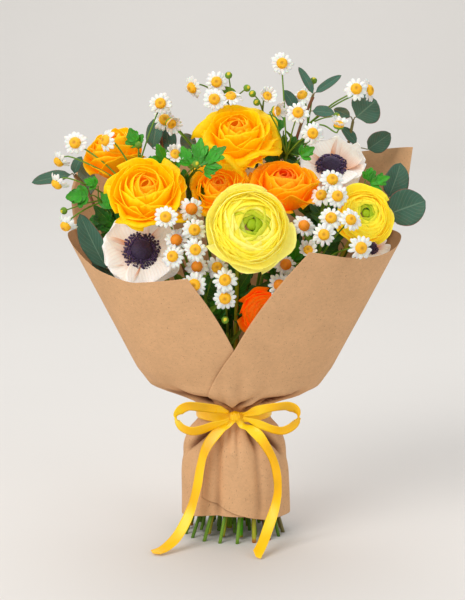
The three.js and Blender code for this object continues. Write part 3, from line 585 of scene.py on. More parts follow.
def petal_finish(name, heart, rim, centre=None, centre_reach=0.25, spread=(0.25, 0.95), pale=None, vein=0.12,
                 painted_glow=0.08):
    """Waxy petals: a deep foot, partly their own colour and partly painted shade of the bloom's depths, a
    bright rim, another colour in the middle of the bloom, fine veins and a painted glow.
    """
    look = Finish(name, Subsurface_Weight=0.3, Subsurface_Scale=0.005, Specular_IOR_Level=0.2,
                  Emission_Strength=painted_glow)
    look.shader.inputs["Subsurface Radius"].default_value = (1.0, 0.6, 0.2)
    across, along = look.pattern()
    tone = look.value("tone")
    ring = look.value("ring")
    cloud = look.noise(90, 3)
    height = look.math("ADD", along, look.math("MULTIPLY", look.math("SUBTRACT", cloud, 0.5), 0.35))
    height = look.math("ADD", height, look.math("MULTIPLY", look.math("SUBTRACT", tone, 0.5), 0.25))
    # From the heart colour at the foot to the rim colour: the deeper foot is partly the petals' own colour
    # and partly painted shade.
    colour = look.ramp(height, (spread[0], heart), (spread[1], rim))
    if pale:
        outer = look.math("MAXIMUM", look.ramp(ring, (0.72, 0.0), (1.0, 1.0)),
                          look.ramp(tone, (0.55, 0.0), (1.0, 0.8)))
        colour = look.mix(look.math("MULTIPLY", outer, 0.75), colour, pale)
    if centre:
        middle = look.ramp(ring, (0.0, 1.0), (centre_reach, 0.0))
        colour = look.mix(middle, colour, centre)
    node = look.node("Math", {0: across, 1: 9.0}, operation="MULTIPLY").outputs[0]
    wave = look.math("SINE", look.math("ADD", look.math("MULTIPLY", node, FULL_TURN),
                                       look.math("MULTIPLY", cloud, 5)))
    lines = look.math("POWER", look.math("MULTIPLY", look.math("ADD", wave, 1.0), 0.5), 3.0)
    colour = look.mix(look.math("MULTIPLY", lines, vein), colour, heart, "MULTIPLY")
    look.colour(colour)
    # Painted glow: the petals give off their own colour, standing in for light that shines through them.
    look.feed(colour, look.shader.inputs["Emission Color"])
    look.rough(look.math("ADD", look.math("MULTIPLY", cloud, 0.2), 0.42))
    look.relief(lines, 0.25, 0.0004)
    return look.material


def anemone_finish():
    c = colours()
    look = Finish("anemone petal", Subsurface_Weight=0.25, Subsurface_Scale=0.004, Specular_IOR_Level=0.3,
                  Emission_Strength=0.12)
    look.shader.inputs["Subsurface Radius"].default_value = (1.0, 0.7, 0.5)
    across, along = look.pattern()
    cloud = look.noise(60, 3)
    tone = look.value("tone")
    height = look.math("ADD", along, look.math("MULTIPLY", look.math("SUBTRACT", cloud, 0.5), 0.4))
    height = look.math("ADD", height, look.math("MULTIPLY", look.math("SUBTRACT", 0.5, tone), 0.5))
    base = look.ramp(height, (0.05, tuple(c.blush)), (0.5, tuple(c.cream)), (1.0, srgb(250, 246, 240)))
    wave = look.math("SINE", look.math("ADD", look.math("MULTIPLY", across, 90.0),
                                       look.math("MULTIPLY", cloud, 6)))
    lines = look.math("POWER", look.math("MULTIPLY", look.math("ADD", wave, 1.0), 0.5), 4.0)
    flesh = look.mix(look.math("MULTIPLY", lines, 0.10), base, srgb(206, 168, 150), "MULTIPLY")
    look.colour(flesh)
    # Painted glow: the petals give off their own colour, standing in for light that shines through them.
    look.feed(flesh, look.shader.inputs["Emission Color"])
    look.rough(0.55)
    look.relief(lines, 0.3, 0.0005)
    return look.material


def velvet_finish():
    c = colours()
    look = Finish("anemone centre", Sheen_Weight=0.5, Sheen_Roughness=0.4)
    look.shader.inputs["Sheen Tint"].default_value = (0.5, 0.35, 0.7, 1)
    grain = look.noise(900, 2)
    tone = look.value("tone")
    colour = look.ramp(look.math("ADD", look.math("MULTIPLY", grain, 0.6), look.math("MULTIPLY", tone, 0.5)),
                       (0.3, tuple(v * 0.3 for v in c.plum)), (0.95, tuple(min(1, v * 1.9) for v in c.plum)))
    look.colour(colour)
    look.rough(0.7)
    look.relief(grain, 0.6, 0.0006)
    return look.material


def ray_finish():
    c = colours()
    look = Finish("chamomile ray", Subsurface_Weight=0.2, Subsurface_Scale=0.002)
    across, along = look.pattern()
    tone = look.value("tone")
    base = look.ramp(along, (0.0, srgb(226, 214, 120)), (0.22, tuple(c.ray_white)))
    shade = look.mix(look.math("MULTIPLY", tone, 0.12), base, srgb(214, 214, 190))
    wave = look.math("SINE", look.math("MULTIPLY", across, 25.0))
    look.colour(shade)
    look.rough(0.5)
    look.relief(wave, 0.3, 0.0003)
    return look.material


def disc_finish():
    c = colours()
    look = Finish("chamomile disc", Subsurface_Weight=0.15, Subsurface_Scale=0.001)
    tone = look.value("tone")
    ring = look.value("ring")
    base = look.ramp(tone, (0.1, srgb(222, 206, 40)), (0.5, tuple(c.disc_yellow)), (0.95, srgb(226, 112, 4)))
    middle = look.ramp(ring, (0.0, srgb(170, 150, 20)), (0.5, (1.0, 1.0, 1.0)))
    look.colour(look.mix(0.8, base, middle, "MULTIPLY"))
    look.rough(0.6)
    look.relief(look.noise(1500, 2), 0.4, 0.0004)
    return look.material


def stalk_finish(name, fresh, dry, scale=70, cut=None, lush=None):
    """A streaked stalk, each one a little greener or yellower, with an optional dry colour at its cut end."""
    look = Finish(name, Specular_IOR_Level=0.22)
    streaks = look.noise(scale, 4, 0.6, stretch=(1, 1, 0.12))
    patches = look.noise(14, 2)
    mixed = look.math("ADD", look.math("MULTIPLY", streaks, 0.6), look.math("MULTIPLY", patches, 0.45))
    mixed = look.math("ADD", mixed, look.math("MULTIPLY", look.math("SUBTRACT", look.value("tone"), 0.5),
                                              0.55))
    skin = look.ramp(mixed, (0.26, dry), (0.52, fresh), (0.85, lush or fresh))
    if cut:
        height = look.node("SeparateXYZ", {0: look.node("TexCoord").outputs["Object"]}).outputs[2]
        skin = look.mix(look.ramp(look.math("MULTIPLY", height, 100.0), (0.2, 0.85), (0.5, 0.0)), skin, cut)
    look.colour(skin)
    look.rough(look.math("ADD", look.math("MULTIPLY", streaks, 0.3), 0.35))
    look.relief(streaks, 0.35, 0.0006)
    return look.material


def leaf_finish(name, colour, dark, vein_colour, edge_colour, roughness, gloss):
    """A leaf with a pale midrib, side veins, mottled flesh and a fine coloured margin."""
    look = Finish(name, Coat_Weight=gloss, Coat_Roughness=0.35, Subsurface_Weight=0.15,
                  Subsurface_Scale=0.003)
    across, along = look.pattern()
    side = look.math("ABSOLUTE", look.math("SUBTRACT", across, 0.5))
    tone = look.value("tone")
    flesh_noise = look.noise(55, 4, 0.6)
    # The tone darkens the flesh: at random between leaves, and further for leaves inside the bunch as painted
    # shade.
    mixed = look.math("ADD", look.math("MULTIPLY", flesh_noise, 0.7), look.math("MULTIPLY", tone, 0.4))
    flesh = look.ramp(mixed, (0.3, dark), (0.75, colour))
    rise = look.math("SUBTRACT", look.math("MULTIPLY", along, 9.0), look.math("MULTIPLY", side, 7.0))
    wave = look.math("SINE", look.math("MULTIPLY", rise, FULL_TURN))
    ribs = look.math("POWER", look.math("MULTIPLY", look.math("ADD", wave, 1.0), 0.5), 14.0)
    midrib = look.ramp(side, (0.0, 1.0), (0.03, 0.0))
    lines = look.math("MAXIMUM", midrib, look.math("MULTIPLY", ribs, 0.35))
    margin = look.ramp(side, (0.475, 0.0), (0.497, 1.0))
    veined = look.mix(look.math("MULTIPLY", lines, 0.6), flesh, vein_colour)
    look.colour(look.mix(look.math("MULTIPLY", margin, 0.7), veined, edge_colour))
    look.rough(look.math("ADD", look.math("MULTIPLY", flesh_noise, 0.18), roughness))
    look.relief(look.math("SUBTRACT", look.math("MULTIPLY", flesh_noise, 0.3), lines), 0.35, 0.0006)
    return look.material


def kraft_finish():
    c = colours()
    look = Finish("kraft paper", Specular_IOR_Level=0.25)
    fibres = look.noise(260, 5, 0.65, stretch=(1, 1, 1.8))
    mottle = look.noise(38, 3, 0.6)
    base = tuple(c.kraft)
    light = tuple(min(1, v * 1.08) for v in base)
    dark = tuple(v * 0.9 for v in base)
    mixed = look.math("ADD", look.math("MULTIPLY", fibres, 0.55), look.math("MULTIPLY", mottle, 0.45))
    sheet = look.ramp(mixed, (0.34, dark), (0.64, light))
    place_now = look.node("TexCoord").outputs["Object"]
    dark_fibre = srgb(112, 74, 40)
    for turn, stretch, low, weight in ((0.6, (1, 1, 0.28), 0.70, 0.5), (-0.8, (1, 1, 0.3), 0.71, 0.45),
                                       (2.1, (1, 1, 0.6), 0.74, 0.7)):
        turned = look.node("Mapping", {0: place_now, "Rotation": (0.3, turn, 0.4),
                                       "Scale": stretch}).outputs[0]
        flecks = look.ramp(look.noise(1150, 1, 0.4, vector=turned), (low, 0.0), (low + 0.06, weight))
        sheet = look.mix(flecks, sheet, dark_fibre)
    # Painted shade: the paper darkens the deeper it lies in a fold.
    fold = look.ramp(look.value("tone"), (0.52, 0.0), (0.8, 0.7), (1.0, 1.0))
    sheet = look.mix(fold, sheet, srgb(118, 74, 44), "MULTIPLY")
    look.colour(sheet)
    look.rough(look.math("ADD", look.math("MULTIPLY", fibres, 0.15), 0.74))
    look.relief(mixed, 0.3, 0.0005)
    return look.material


def satin_finish():
    c = colours()
    look = Finish("satin ribbon", Coat_Weight=0.04, Coat_Roughness=0.25, Anisotropic=0.6,
                  Specular_IOR_Level=0.4,
                  Emission_Strength=0.10)
    across, along = look.pattern()
    threads = look.math("SINE", look.math("MULTIPLY", along, 2600.0))
    rows = look.math("SINE", look.math("MULTIPLY", across, 190.0))
    weave = look.math("ADD", look.math("MULTIPLY", threads, 0.5), look.math("MULTIPLY", rows, 0.5))
    # Painted highlight: the rims of the ribbon are lighter.
    painted_edge_highlight = look.ramp(look.math("ABSOLUTE", look.math("SUBTRACT", across, 0.5)), (0.44, 0.0), (0.48, 1.0))
    soft = look.noise(80, 2)
    # Painted highlight and shade: broad lighter and darker bands along the satin.
    painted_sheen = look.noise(30, 1, 0.3)
    base = tuple(c.satin)
    body = look.ramp(painted_sheen, (0.34, tuple(v * 0.80 for v in base)), (0.5, base), (0.66, srgb(255, 214, 30)))
    cloth = look.mix(look.math("MULTIPLY", painted_edge_highlight, 0.35), body, srgb(255, 224, 70))
    look.colour(cloth)
    # Painted glow: the satin gives off its own colour.
    look.feed(cloth, look.shader.inputs["Emission Color"])
    look.rough(look.math("ADD", look.math("MULTIPLY", soft, 0.1), 0.24))
    look.relief(weave, 0.15, 0.0002)
    return look.material


def twine_finish():
    look = Finish("binding twine", Sheen_Weight=0.3)
    across, along = look.pattern()
    twist = look.math("SINE", look.math("MULTIPLY", look.math("ADD", look.math("MULTIPLY", along, 60.0),
                                                              across), FULL_TURN))
    fuzz = look.noise(700, 3)
    look.colour(look.ramp(look.math("ADD", look.math("MULTIPLY", twist, 0.25), fuzz),
                          (0.2, srgb(120, 92, 52)),
                          (0.8, srgb(196, 168, 120))))
    look.rough(0.9)
    look.relief(twist, 0.5, 0.001)
    return look.material


# ---- Stalks: how each stem runs from its cut end, through the tie, to its flower ----


def bloom_axis(bloom):
    return facing(bloom["turn"], bloom["tilt"])


def bloom_base(bloom):
    """The foot of a bloom, in millimetres."""
    return Vector(bloom["at"]) - bloom_axis(bloom) * bloom["depth"] / 2


def stem_list():
    """Every stem with its width and its points above the tie, in the order they are gathered."""
    made = []
    for kind, flowers in (("rose", ROSES), ("ranunculus", RANUNCULUS), ("anemone", ANEMONES)):
        for name, bloom in flowers.items():
            base, axis = bloom_base(bloom), bloom_axis(bloom)
            neck = base - axis * max(14, 0.5 * bloom["radius"]) - Vector((0, 0, 6))
            made.append(dict(name=name, width=STEM_WIDTHS[kind],
                             points=[neck, base - axis * 5, base - axis * 0.3]))
    for i, spray in enumerate(SPRAYS):
        fork = Vector(spray["fork"])
        lower = Vector((fork.x * 0.88, fork.y * 0.88, fork.z - 24))
        made.append(dict(name=f"chamomile_{i + 1:02d}", width=STEM_WIDTHS["chamomile"], points=[lower, fork]))
    for kind, group in (("eucalyptus", EUCALYPTUS), ("foliage", FOLIAGE)):
        for name, stalk in group.items():
            points = [Vector(p) for p in stalk["stalk"]]
            made.append(dict(name=name, width=STEM_WIDTHS[kind], points=points))
    return made


def stem_routes():
    """Each stem's route from its foot to its flower, packed in rings at the tie and spiralled below it."""
    stems = stem_list()
    for stem in stems:
        first = stem["points"][0]
        stem["reach"] = math.hypot(first.x, first.y) / (first.z - TIE_HEIGHT)
        stem["azimuth"] = math.atan2(first.y, first.x)
    waiting = sorted(stems, key=lambda stem: stem["reach"])
    routes = {}
    for ring, size in enumerate(RING_SIZES):
        members = sorted(waiting[:size], key=lambda stem: stem["azimuth"])
        waiting = waiting[size:]
        if not members:
            break
        step = 2 * math.pi / len(members)
        offset = math.atan2(
            sum(math.sin(s["azimuth"] - i * step) for i, s in enumerate(members)),
            sum(math.cos(s["azimuth"] - i * step) for i, s in enumerate(members)),
        )
        for i, stem in enumerate(members):
            angle = offset + i * step
            tie = (Vector((math.cos(angle), math.sin(angle), 0)) * ring * RING_PITCH
                   + Vector((0, 0, TIE_HEIGHT)))
            foot = Vector((
                FOOT_RADII[ring] * FOOT_SPREAD[0] * math.cos(angle + SPIRAL_TURN),
                FOOT_RADII[ring] * FOOT_SPREAD[1] * math.sin(angle + SPIRAL_TURN) - FOOT_FORWARD,
                -stem["width"],
            ))
            points = [foot, foot.lerp(tie, 0.5), foot.lerp(tie, 0.9), tie, tie.lerp(stem["points"][0], 0.2)]
            route = through(points + stem["points"], 44)
            routes[stem["name"]] = dict(
                route=route, width=stem["width"], foot=0 if ring == len(RING_SIZES) - 1 else RAISED_END
            )
    return routes


ROUTES = {}


def stem_mesh(name, taper=0.92):
    """A stem that tapers from its foot to its top, with its foot cut straight."""
    if not ROUTES:
        ROUTES.update(stem_routes())
    stem = ROUTES[name]
    mesh = Mesh()
    radius = stem["width"] / 2 * MM
    tone = random.Random(name).random()
    mesh.tubes([([place(p) for p in stem["route"]], radius * (1 + 0.22 * tone), radius * taper)], tone=tone,
               resolution=3)
    mesh.flat_foot(stem["foot"] * MM)
    return mesh


# ---- Petals and leaves ----


def dome_point(radius, height, polar, around, out, lift):
    """A point on a bloom's dome at so many degrees from its tip, moved outwards and upwards."""
    t = math.radians(polar)
    flat = radius * math.sin(t) + out
    return Vector((flat * math.cos(around), flat * math.sin(around),
                   height * (0.5 + 0.5 * math.cos(t)) + lift))


def rose_mesh(name, bloom):
    """A rose: a wrapped swirl in the middle, then rows of petals that open and roll back at their rims."""
    draw = random.Random(name)
    radius, depth, openness = bloom["radius"] * MM, bloom["depth"] * MM, bloom["open"]
    matrix = stand(place(bloom_base(bloom)), bloom_axis(bloom))
    mesh = Mesh()
    count = 30
    for i in range(count):
        u = i / (count - 1)
        angle = math.radians(137.5) * i + draw.uniform(-0.35, 0.35)
        rim = 2 + 76 * u**0.9 + draw.uniform(-4, 4) * u
        shell = radius * (0.52 + 0.24 * u)
        half = math.radians(126 - 82 * u**0.4) * draw.uniform(0.9, 1.2)
        step = radius * (0.11 + 0.08 * ease(0.1, 0.6, u)) * draw.uniform(0.7, 1.3)
        roll = radius * 0.20 * ease(0.25, 0.9, u) * openness * draw.uniform(0.5, 1.25)
        ruffle = draw.uniform(0.6, 1.4) * ease(0.15, 0.7, u) * (0.6 + 0.4 * openness)
        pointed = draw.uniform(0.5, 1.0)
        phase, lean = draw.uniform(0, 6.28), draw.uniform(-0.12, 0.12)

        def put(x, y, rim=rim, shell=shell, half=half, step=step, roll=roll, ruffle=ruffle, pointed=pointed,
                phase=phase, lean=lean, angle=angle, u=u):
            corner = abs(x) ** 2.4
            lowest = min(rim + 78, 160)
            polar = lowest + (rim + corner * (20 + 12 * u) - 13 * pointed * bump(x, 0.1, 0.22) * u
                              - lowest) * y
            around = angle + x * half * (0.45 + 0.55 * ease(0, 0.55, y)) + lean * y
            stands = ease(0.55, 1.0, y)
            out = step * stands * (0.30 + 0.70 * u) * (1 + (0.8 - 0.4 * u) * x)
            lift = step * stands * (2.5 - 1.6 * u)
            turned = ease(0.72, 1.0, y) ** 1.4
            out += roll * turned * (0.75 + 0.35 * abs(x))
            lift -= roll * turned * ease(0.86, 1.0, y) * 0.55
            wave = math.sin(x * 5 + phase) * 0.6 + math.sin(x * 10.5 + phase * 2) * 0.3
            out += wave * ruffle * radius * 0.055 * y * y
            lift += math.cos(x * 6 + phase) * ruffle * radius * 0.06 * y**3
            return matrix @ dome_point(shell, depth * (0.76 + 0.10 * u), polar, around, out, lift)

        mesh.grid(14, 13, put, ring=u, tone=draw.random())
    for around, polar, size in bloom.get("loose", ()):
        loose_petal(mesh, matrix, radius, depth, math.radians(around), polar, size, draw)
    mesh.thicken(sizes().petal_thickness)
    return mesh


def loose_petal(mesh, matrix, radius, depth, around, polar, size, draw):
    """An outer petal that has let go: it leans out of the bloom, ruffled, with a pointed tip."""
    phase = draw.uniform(0, 6.28)

    def put(x, y):
        spread = math.radians(34) * size * math.sin(math.pi * (0.16 + 0.70 * y**0.8)) ** 0.7
        tip = 1 - 0.34 * abs(x) ** 1.5
        reach = y * tip
        low = polar + 62 * (1 - reach)
        out = radius * (0.30 * size * reach**1.5 + 0.05 * math.sin(x * 8 + phase) * y * y)
        lift = radius * (0.12 * reach - 0.10 * ease(0.75, 1, reach) + 0.06 * math.cos(x * 9 + phase) * y**2)
        return matrix @ dome_point(radius * 0.86, depth * 0.82, low, around + x * spread, out, lift)

    mesh.grid(14, 13, put, ring=draw.uniform(0.75, 1.0), tone=draw.random())


def ranunculus_mesh(name, bloom):
    """Dozens of thin round cupped petals wrapped over each other in a globe round a small eye."""
    draw = random.Random(name)
    radius, depth = bloom["radius"] * MM, bloom["depth"] * MM
    matrix = stand(place(bloom_base(bloom)), bloom_axis(bloom))
    mesh = Mesh()
    count = bloom["petals"]
    radius *= 0.93
    for i in range(count):
        u = i / (count - 1)
        angle = math.radians(137.5) * i + draw.uniform(-0.2, 0.2)
        rim = 7 + 74 * u**0.85 + draw.uniform(-3.5, 3.5)
        shell = radius * (0.74 + 0.14 * u)
        half = math.radians(112 - 66 * u**0.5) * draw.uniform(0.85, 1.2)
        step = radius * (0.045 + 0.045 * u) * draw.uniform(0.4, 1.7)
        loose = radius * (0.20 * ease(0.78, 1.0, u) * draw.uniform(0.1, 1.0) ** 1.5)
        phase, tip = draw.uniform(0, 6.28), draw.uniform(0.4, 1.0)

        def put(x, y, rim=rim, shell=shell, half=half, step=step, loose=loose, phase=phase, tip=tip,
                angle=angle,
                u=u):
            corner = abs(x) ** 2.6
            lowest = min(rim + 62, 165)
            polar = lowest + (rim + corner * (15 + 9 * tip) - lowest) * y
            polar += 1.6 * math.sin(x * 6 + phase) * y * (0.3 + u)
            around = angle + x * half * (0.4 + 0.6 * ease(0, 0.6, y))
            stands = ease(0.60, 1.0, y)
            out = step * stands * (0.5 + 0.8 * u) + loose * ease(0.55, 1.0, y)
            lift = step * stands * (1.3 - 0.8 * u) - loose * 0.25 * ease(0.8, 1.0, y)
            out += math.sin(x * 8 + phase) * radius * 0.008 * y + math.sin(x * 4 + phase) * loose * 0.3 * y
            lift -= depth * 0.06 * bump(polar, 0, 20)
            return matrix @ dome_point(shell, depth * (0.86 + 0.10 * u), polar, around, out, lift)

        mesh.grid(10, 9, put, ring=u, tone=draw.random())
    mesh.thicken(sizes().petal_thickness * 0.8)
    eye = matrix @ Vector((0, 0, depth * 0.79))
    for vert in mesh.ball(eye, radius * 0.15, 0.6, bloom_axis(bloom), 3, ring=0.0):
        vert.co += (vert.co - eye).normalized() * noise.noise(vert.co * 900) * radius * 0.03
    return mesh


def anemone_petals(name, bloom):
    """Seven or nine broad thin petals in two rows, cupped, with waved rims and a pleated flesh."""
    draw = random.Random(name + "petals")
    radius, depth = bloom["radius"] * MM, bloom["depth"] * MM
    matrix = stand(place(bloom_base(bloom)), bloom_axis(bloom))
    mesh = Mesh()
    count = 9 if bloom["radius"] > 25 else 7
    for i in range(count):
        inner = i % 2
        angle = 2 * math.pi * i / count + draw.uniform(-0.1, 0.1)
        long = radius * draw.uniform(1.0, 1.1) * (0.92 if inner else 1.0)
        half = radius * draw.uniform(0.50, 0.60)
        cup = depth * draw.uniform(0.6, 0.9) * (1.0 if inner else 0.72)
        notch = draw.uniform(0.0, 0.07)
        phase, sway = draw.uniform(0, 6.28), draw.uniform(-0.12, 0.12)

        def put(x, y, angle=angle, long=long, half=half, cup=cup, notch=notch, phase=phase, sway=sway,
                inner=inner):
            width = half * (0.2 + 0.95 * math.sin(math.pi * min(0.08 + 0.60 * y, 1)) ** 0.9)
            width *= (1 - 0.62 * ease(0.80, 1.0, y)) if y < 1 else 0.38
            reach = long * (0.13 + 0.87 * y) * (1 - notch * bump(x, 0.1, 0.3) * ease(0.8, 1, y)
                                                - 0.08 * x * x * y)
            side = width * x + sway * long * y * y
            lift = cup * (0.25 + 0.75 * (reach / long) ** 1.7) + (0.0014 if inner else 0)
            lift += (width * x) ** 2 / radius * 0.55
            lift += (math.sin(x * 4.4 + phase) * radius * 0.035 * y**2
                     + math.sin(x * 9 + phase) * radius * 0.012 * y)
            tilt = Matrix.Rotation(angle, 4, "Z") @ Vector((reach, side, lift))
            return matrix @ tilt

        mesh.grid(15, 13, put, ring=float(inner), tone=draw.random())
    mesh.thicken(sizes().petal_thickness)
    return mesh


def anemone_centre(name, bloom):
    """A velvety domed boss in a dense ring of stamens on fine filaments."""
    draw = random.Random(name + "centre")
    matrix = stand(place(bloom_base(bloom)), bloom_axis(bloom))
    mesh = Mesh()
    boss = bloom["boss"] * MM
    dome = boss * 0.86
    foot = bloom["depth"] * MM * 0.25
    middle = matrix @ Vector((0, 0, foot + dome * 0.35))
    for vert in mesh.ball(middle, dome, 0.85, bloom_axis(bloom), 4, tone=0.2):
        away = (vert.co - middle).normalized()
        vert.co += away * noise.noise(vert.co * 1400) * dome * 0.10
    routes = []
    for i in range(260):
        row = i % 4
        angle = i * 2.39996 + draw.uniform(-0.1, 0.1)
        reach = boss * (0.86 + 0.15 * row) * draw.uniform(0.93, 1.06)
        high = foot + boss * (0.60 - 0.11 * row) * draw.uniform(0.85, 1.1)
        side = Vector((math.cos(angle), math.sin(angle), 0))
        start, end = side * dome * 0.6 + Vector((0, 0, foot * 0.6)), side * reach + Vector((0, 0, high))
        bend = start.lerp(end, 0.55) + Vector((0, 0, boss * 0.10)) - side * boss * 0.05
        routes.append(([matrix @ p for p in (start, bend, end)], 0.22 * MM, 0.16 * MM))
        tip = matrix @ (end + Vector((0, 0, 0.4 * MM)))
        anther = boss * draw.uniform(0.075, 0.105)
        mesh.ball(tip, anther, 0.6, matrix.to_3x3() @ (side * 0.4 + Vector((0, 0, 1))), 1, tone=draw.random())
    mesh.tubes(routes, tone=0.4, resolution=0)
    return mesh


def head_shapes():
    """Open, young and folded-back chamomile heads, each a small mesh about its own foot, facing +Z."""
    made = {}
    for kind, lift, length, count in (("open", 0.05, 1.0, sizes().ray_count), ("flat", -0.14, 1.0, 14),
                                      ("young", 0.85, 0.80, 13), ("back", -0.6, 0.90, 13)):
        for deep in (False, True):
            draw = random.Random(kind)
            mesh = Mesh()
            radius = sizes().head_radius
            disc = radius * (0.46 if kind != "young" else 0.42)
            for i in range(count):
                angle = 2 * math.pi * i / count + draw.uniform(-0.13, 0.13)
                long = radius * length * draw.uniform(0.86, 1.02)
                half = radius * 0.165 * draw.uniform(0.85, 1.15)
                rise, twist = lift + draw.uniform(-0.12, 0.12), draw.uniform(-0.3, 0.3)

                def put(x, y, angle=angle, long=long, half=half, rise=rise, twist=twist):
                    reach = disc * 0.6 + (long - disc * 0.6) * y
                    wide = (half * (0.62 + 0.38 * ease(0, 0.35, y))
                            * math.sqrt(max(0.0, 1 - max(0, (y - 0.72) / 0.30) ** 2)))
                    lift_here = (rise * (reach - disc * 0.6)
                                 - 0.10 * radius * y * y * (1 if rise < 0.5 else -1))
                    lift_here += (0.35 * x * x + twist * x) * wide
                    return Matrix.Rotation(angle, 4, "Z") @ Vector((reach, wide * x, lift_here))

                mesh.grid(2, 5, put, ring=1.0, tone=draw.random(), material=0)
            mesh.thicken(0.22 * MM)
            high = 1.2 if deep else 0.85
            for vert in mesh.ball((0, 0, disc * 0.1), disc, high, detail=4, ring=0.5,
                                  tone=0.8 if deep else 0.45,
                                  material=1):
                grain = noise.noise(vert.co * 2600)
                outer = min(1, math.hypot(vert.co.x, vert.co.y) / disc)
                vert[mesh.bm.verts.layers.float["ring"]] = outer if not deep else 0.6
                away = Vector((vert.co.x, vert.co.y, vert.co.z * 1.4)).normalized()
                vert.co += away * grain * disc * 0.09
                if vert.co.z > 0 and not deep:
                    vert.co.z -= disc * 0.22 * bump(outer, 0, 0.32)
                if vert.co.z < 0:
                    vert.co.z *= 0.5
            mesh.ball((0, 0, -0.10 * radius), radius * 0.46, 0.42, detail=2, material=2)
            made[kind, deep] = mesh.finish()
    return made


def bud_shape():
    """A closed chamomile bud in its green cup, with the top of its disc just showing."""
    mesh = Mesh()
    radius = 3.4 * MM
    for vert in mesh.ball((0, 0, 0), radius, 0.95, detail=3, material=2):
        vert.co += vert.co.normalized() * noise.noise(vert.co * 1500) * radius * 0.08
    mesh.ball((0, 0, radius * 0.42), radius * 0.72, 0.8, detail=2, tone=0.2, material=1)
    return mesh.finish()


def leaf(mesh, base, tip, width, outward, curl=0.12, blunt=0.5, lobes=(), material=0, tone=0.5):
    """A leaf blade from base to tip, folded at its midrib, bent backwards and waved at its margins."""
    base, tip = Vector(base), Vector(tip)
    run = tip - base
    length = run.length
    along = run.normalized()
    across = along.cross(outward)
    across = across.normalized() if across.length > 1e-3 else along.cross(Vector((1, 0, 0))).normalized()
    out = across.cross(along).normalized()
    width *= 0.5

    def put(x, y):
        round_off = math.sin(math.pi * y ** (0.55 + 0.5 * blunt)) ** (0.85 - 0.35 * blunt)
        shape = round_off * (0.06 + 0.94 * ease(0, 0.12, y)) if y < 1 else 0
        cut = 1.0
        for height, depth in lobes:
            cut -= depth * bump(y, height, 0.055)
        side = x * width * shape * (1 + (cut - 1) * abs(x) ** 0.6)
        bend = -curl * length * (y * y)
        fold = abs(x) * width * shape * 0.28
        wave = math.sin(y * 13 + x * 2 + length * 40) * width * 0.07 * abs(x) * shape
        return base + along * length * y + across * side + out * (bend + fold + wave)

    mesh.grid(10, 18 if lobes else 14, put, tone=tone, material=material)


def lobed_leaf(mesh, base, tip, width, outward, tone, draw, material=0):
    """A cut leaf: a middle lobe and one or two pairs of toothed side lobes, all on one midrib."""
    base, tip = Vector(base), Vector(tip)
    run = tip - base
    length = run.length
    side = run.normalized().cross(outward).normalized()
    normal = run.normalized()
    leaf(mesh, base + run * 0.10, tip, width * 0.50, outward, 0.10, 0.75, ((0.66, 0.34), (0.86, 0.24)),
         material,
         tone + draw.uniform(-0.15, 0.15))
    pairs = ((0.10, 0.75, 0.85), (0.34, 0.95, 0.55)) if width > 12 * MM else ((0.15, 0.85, 0.7),)
    for start, ahead, spread in pairs:
        for sign in (-1, 1):
            foot = base + run * start
            end = foot + (normal * ahead + side * sign * spread).normalized() * length * (0.66 - start * 0.5)
            past = (end - foot).dot(side) * sign - width * 0.62
            if past > 0:
                end -= side * sign * past
            leaf(mesh, foot, end, width * 0.36, outward, 0.12, 0.8, ((0.74, 0.36),), material,
                 tone + draw.uniform(-0.2, 0.2))


# ---- Paper ----


def front_angle(angle):
    """The same direction as an angle from -180 to 180 degrees from the front."""
    return (angle + 180) % 360 - 180


def wrap_radii(z):
    """The half width, front depth and back depth of the cone at a height, with its corners eased."""
    reach = 4 if z < 104 else 1.6
    return tuple(smooth_lookup(WRAP, z, reach, column) for column in (1, 2, 3))


def wrap_point(angle, z, inset=0.0):
    """A point on the wrapped cone so many degrees round from the front, at a height, so far inside it."""
    a = front_angle(angle)
    raised = 11 * bump(a, -54, 24) + 4 * bump(a, 56, 20) - 2 * bump(a, 0, 20)
    wide, front, back = wrap_radii(z - raised * bump(z, 149, 13))
    phi = math.radians(angle)
    forward = math.cos(phi)
    blend = ease(-0.22, 0.22, forward)
    deep = back + (front - back) * blend
    radius = 1 / math.hypot(math.sin(phi) / wide, forward / deep) - inset
    return radius * math.sin(phi), -radius * forward, z


# Deep pleats: direction at the middle, its swing with height, middle height, half width, reach and depth.
PLEATS = (
    (-46, -1.0, 142, 9, 8, 12), (-30, -1.6, 136, 4, 11, 12), (50, 1.0, 139, 6, 7, 11),
    (34, 1.5, 135, 4, 9, 10),
    (8, 1.0, 137, 3.5, 10, 8), (-10, -0.9, 134, 3, 8, 6), (21, 0.9, 134, 3, 8, 6), (-58, 1.3, 98, 5, 15, 9),
    (-42, 0.9, 104, 4, 9, 6), (56, -1.3, 97, 5, 15, 10), (41, -0.8, 104, 4, 9, 6), (-24, 0.6, 104, 4, 11, 5),
    (26, -0.5, 103, 4, 11, 5), (-100, 0.4, 104, 5, 12, 7), (105, 0.4, 104, 5, 12, 7),
    (150, 0.2, 135, 5, 12, 10),
    (-150, 0.2, 135, 5, 12, 10), (180, 0.2, 103, 6, 14, 7), (180, 0.3, 138, 5, 14, 9),
    (-84, -1.0, 137, 5, 12, 9),
    (88, 1.0, 137, 5, 12, 9), (120, -0.4, 102, 4, 12, 5), (-124, 0.4, 102, 4, 12, 5),
)
# Soft upright grooves of the skirt: direction, half width and depth.
GROOVES = ((-21, 6, 3.8), (33, 6, 4.0), (-62, 9, 3.0), (70, 9, 3.0), (118, 10, 3), (-118, 10, 3),
           (170, 12, 3))


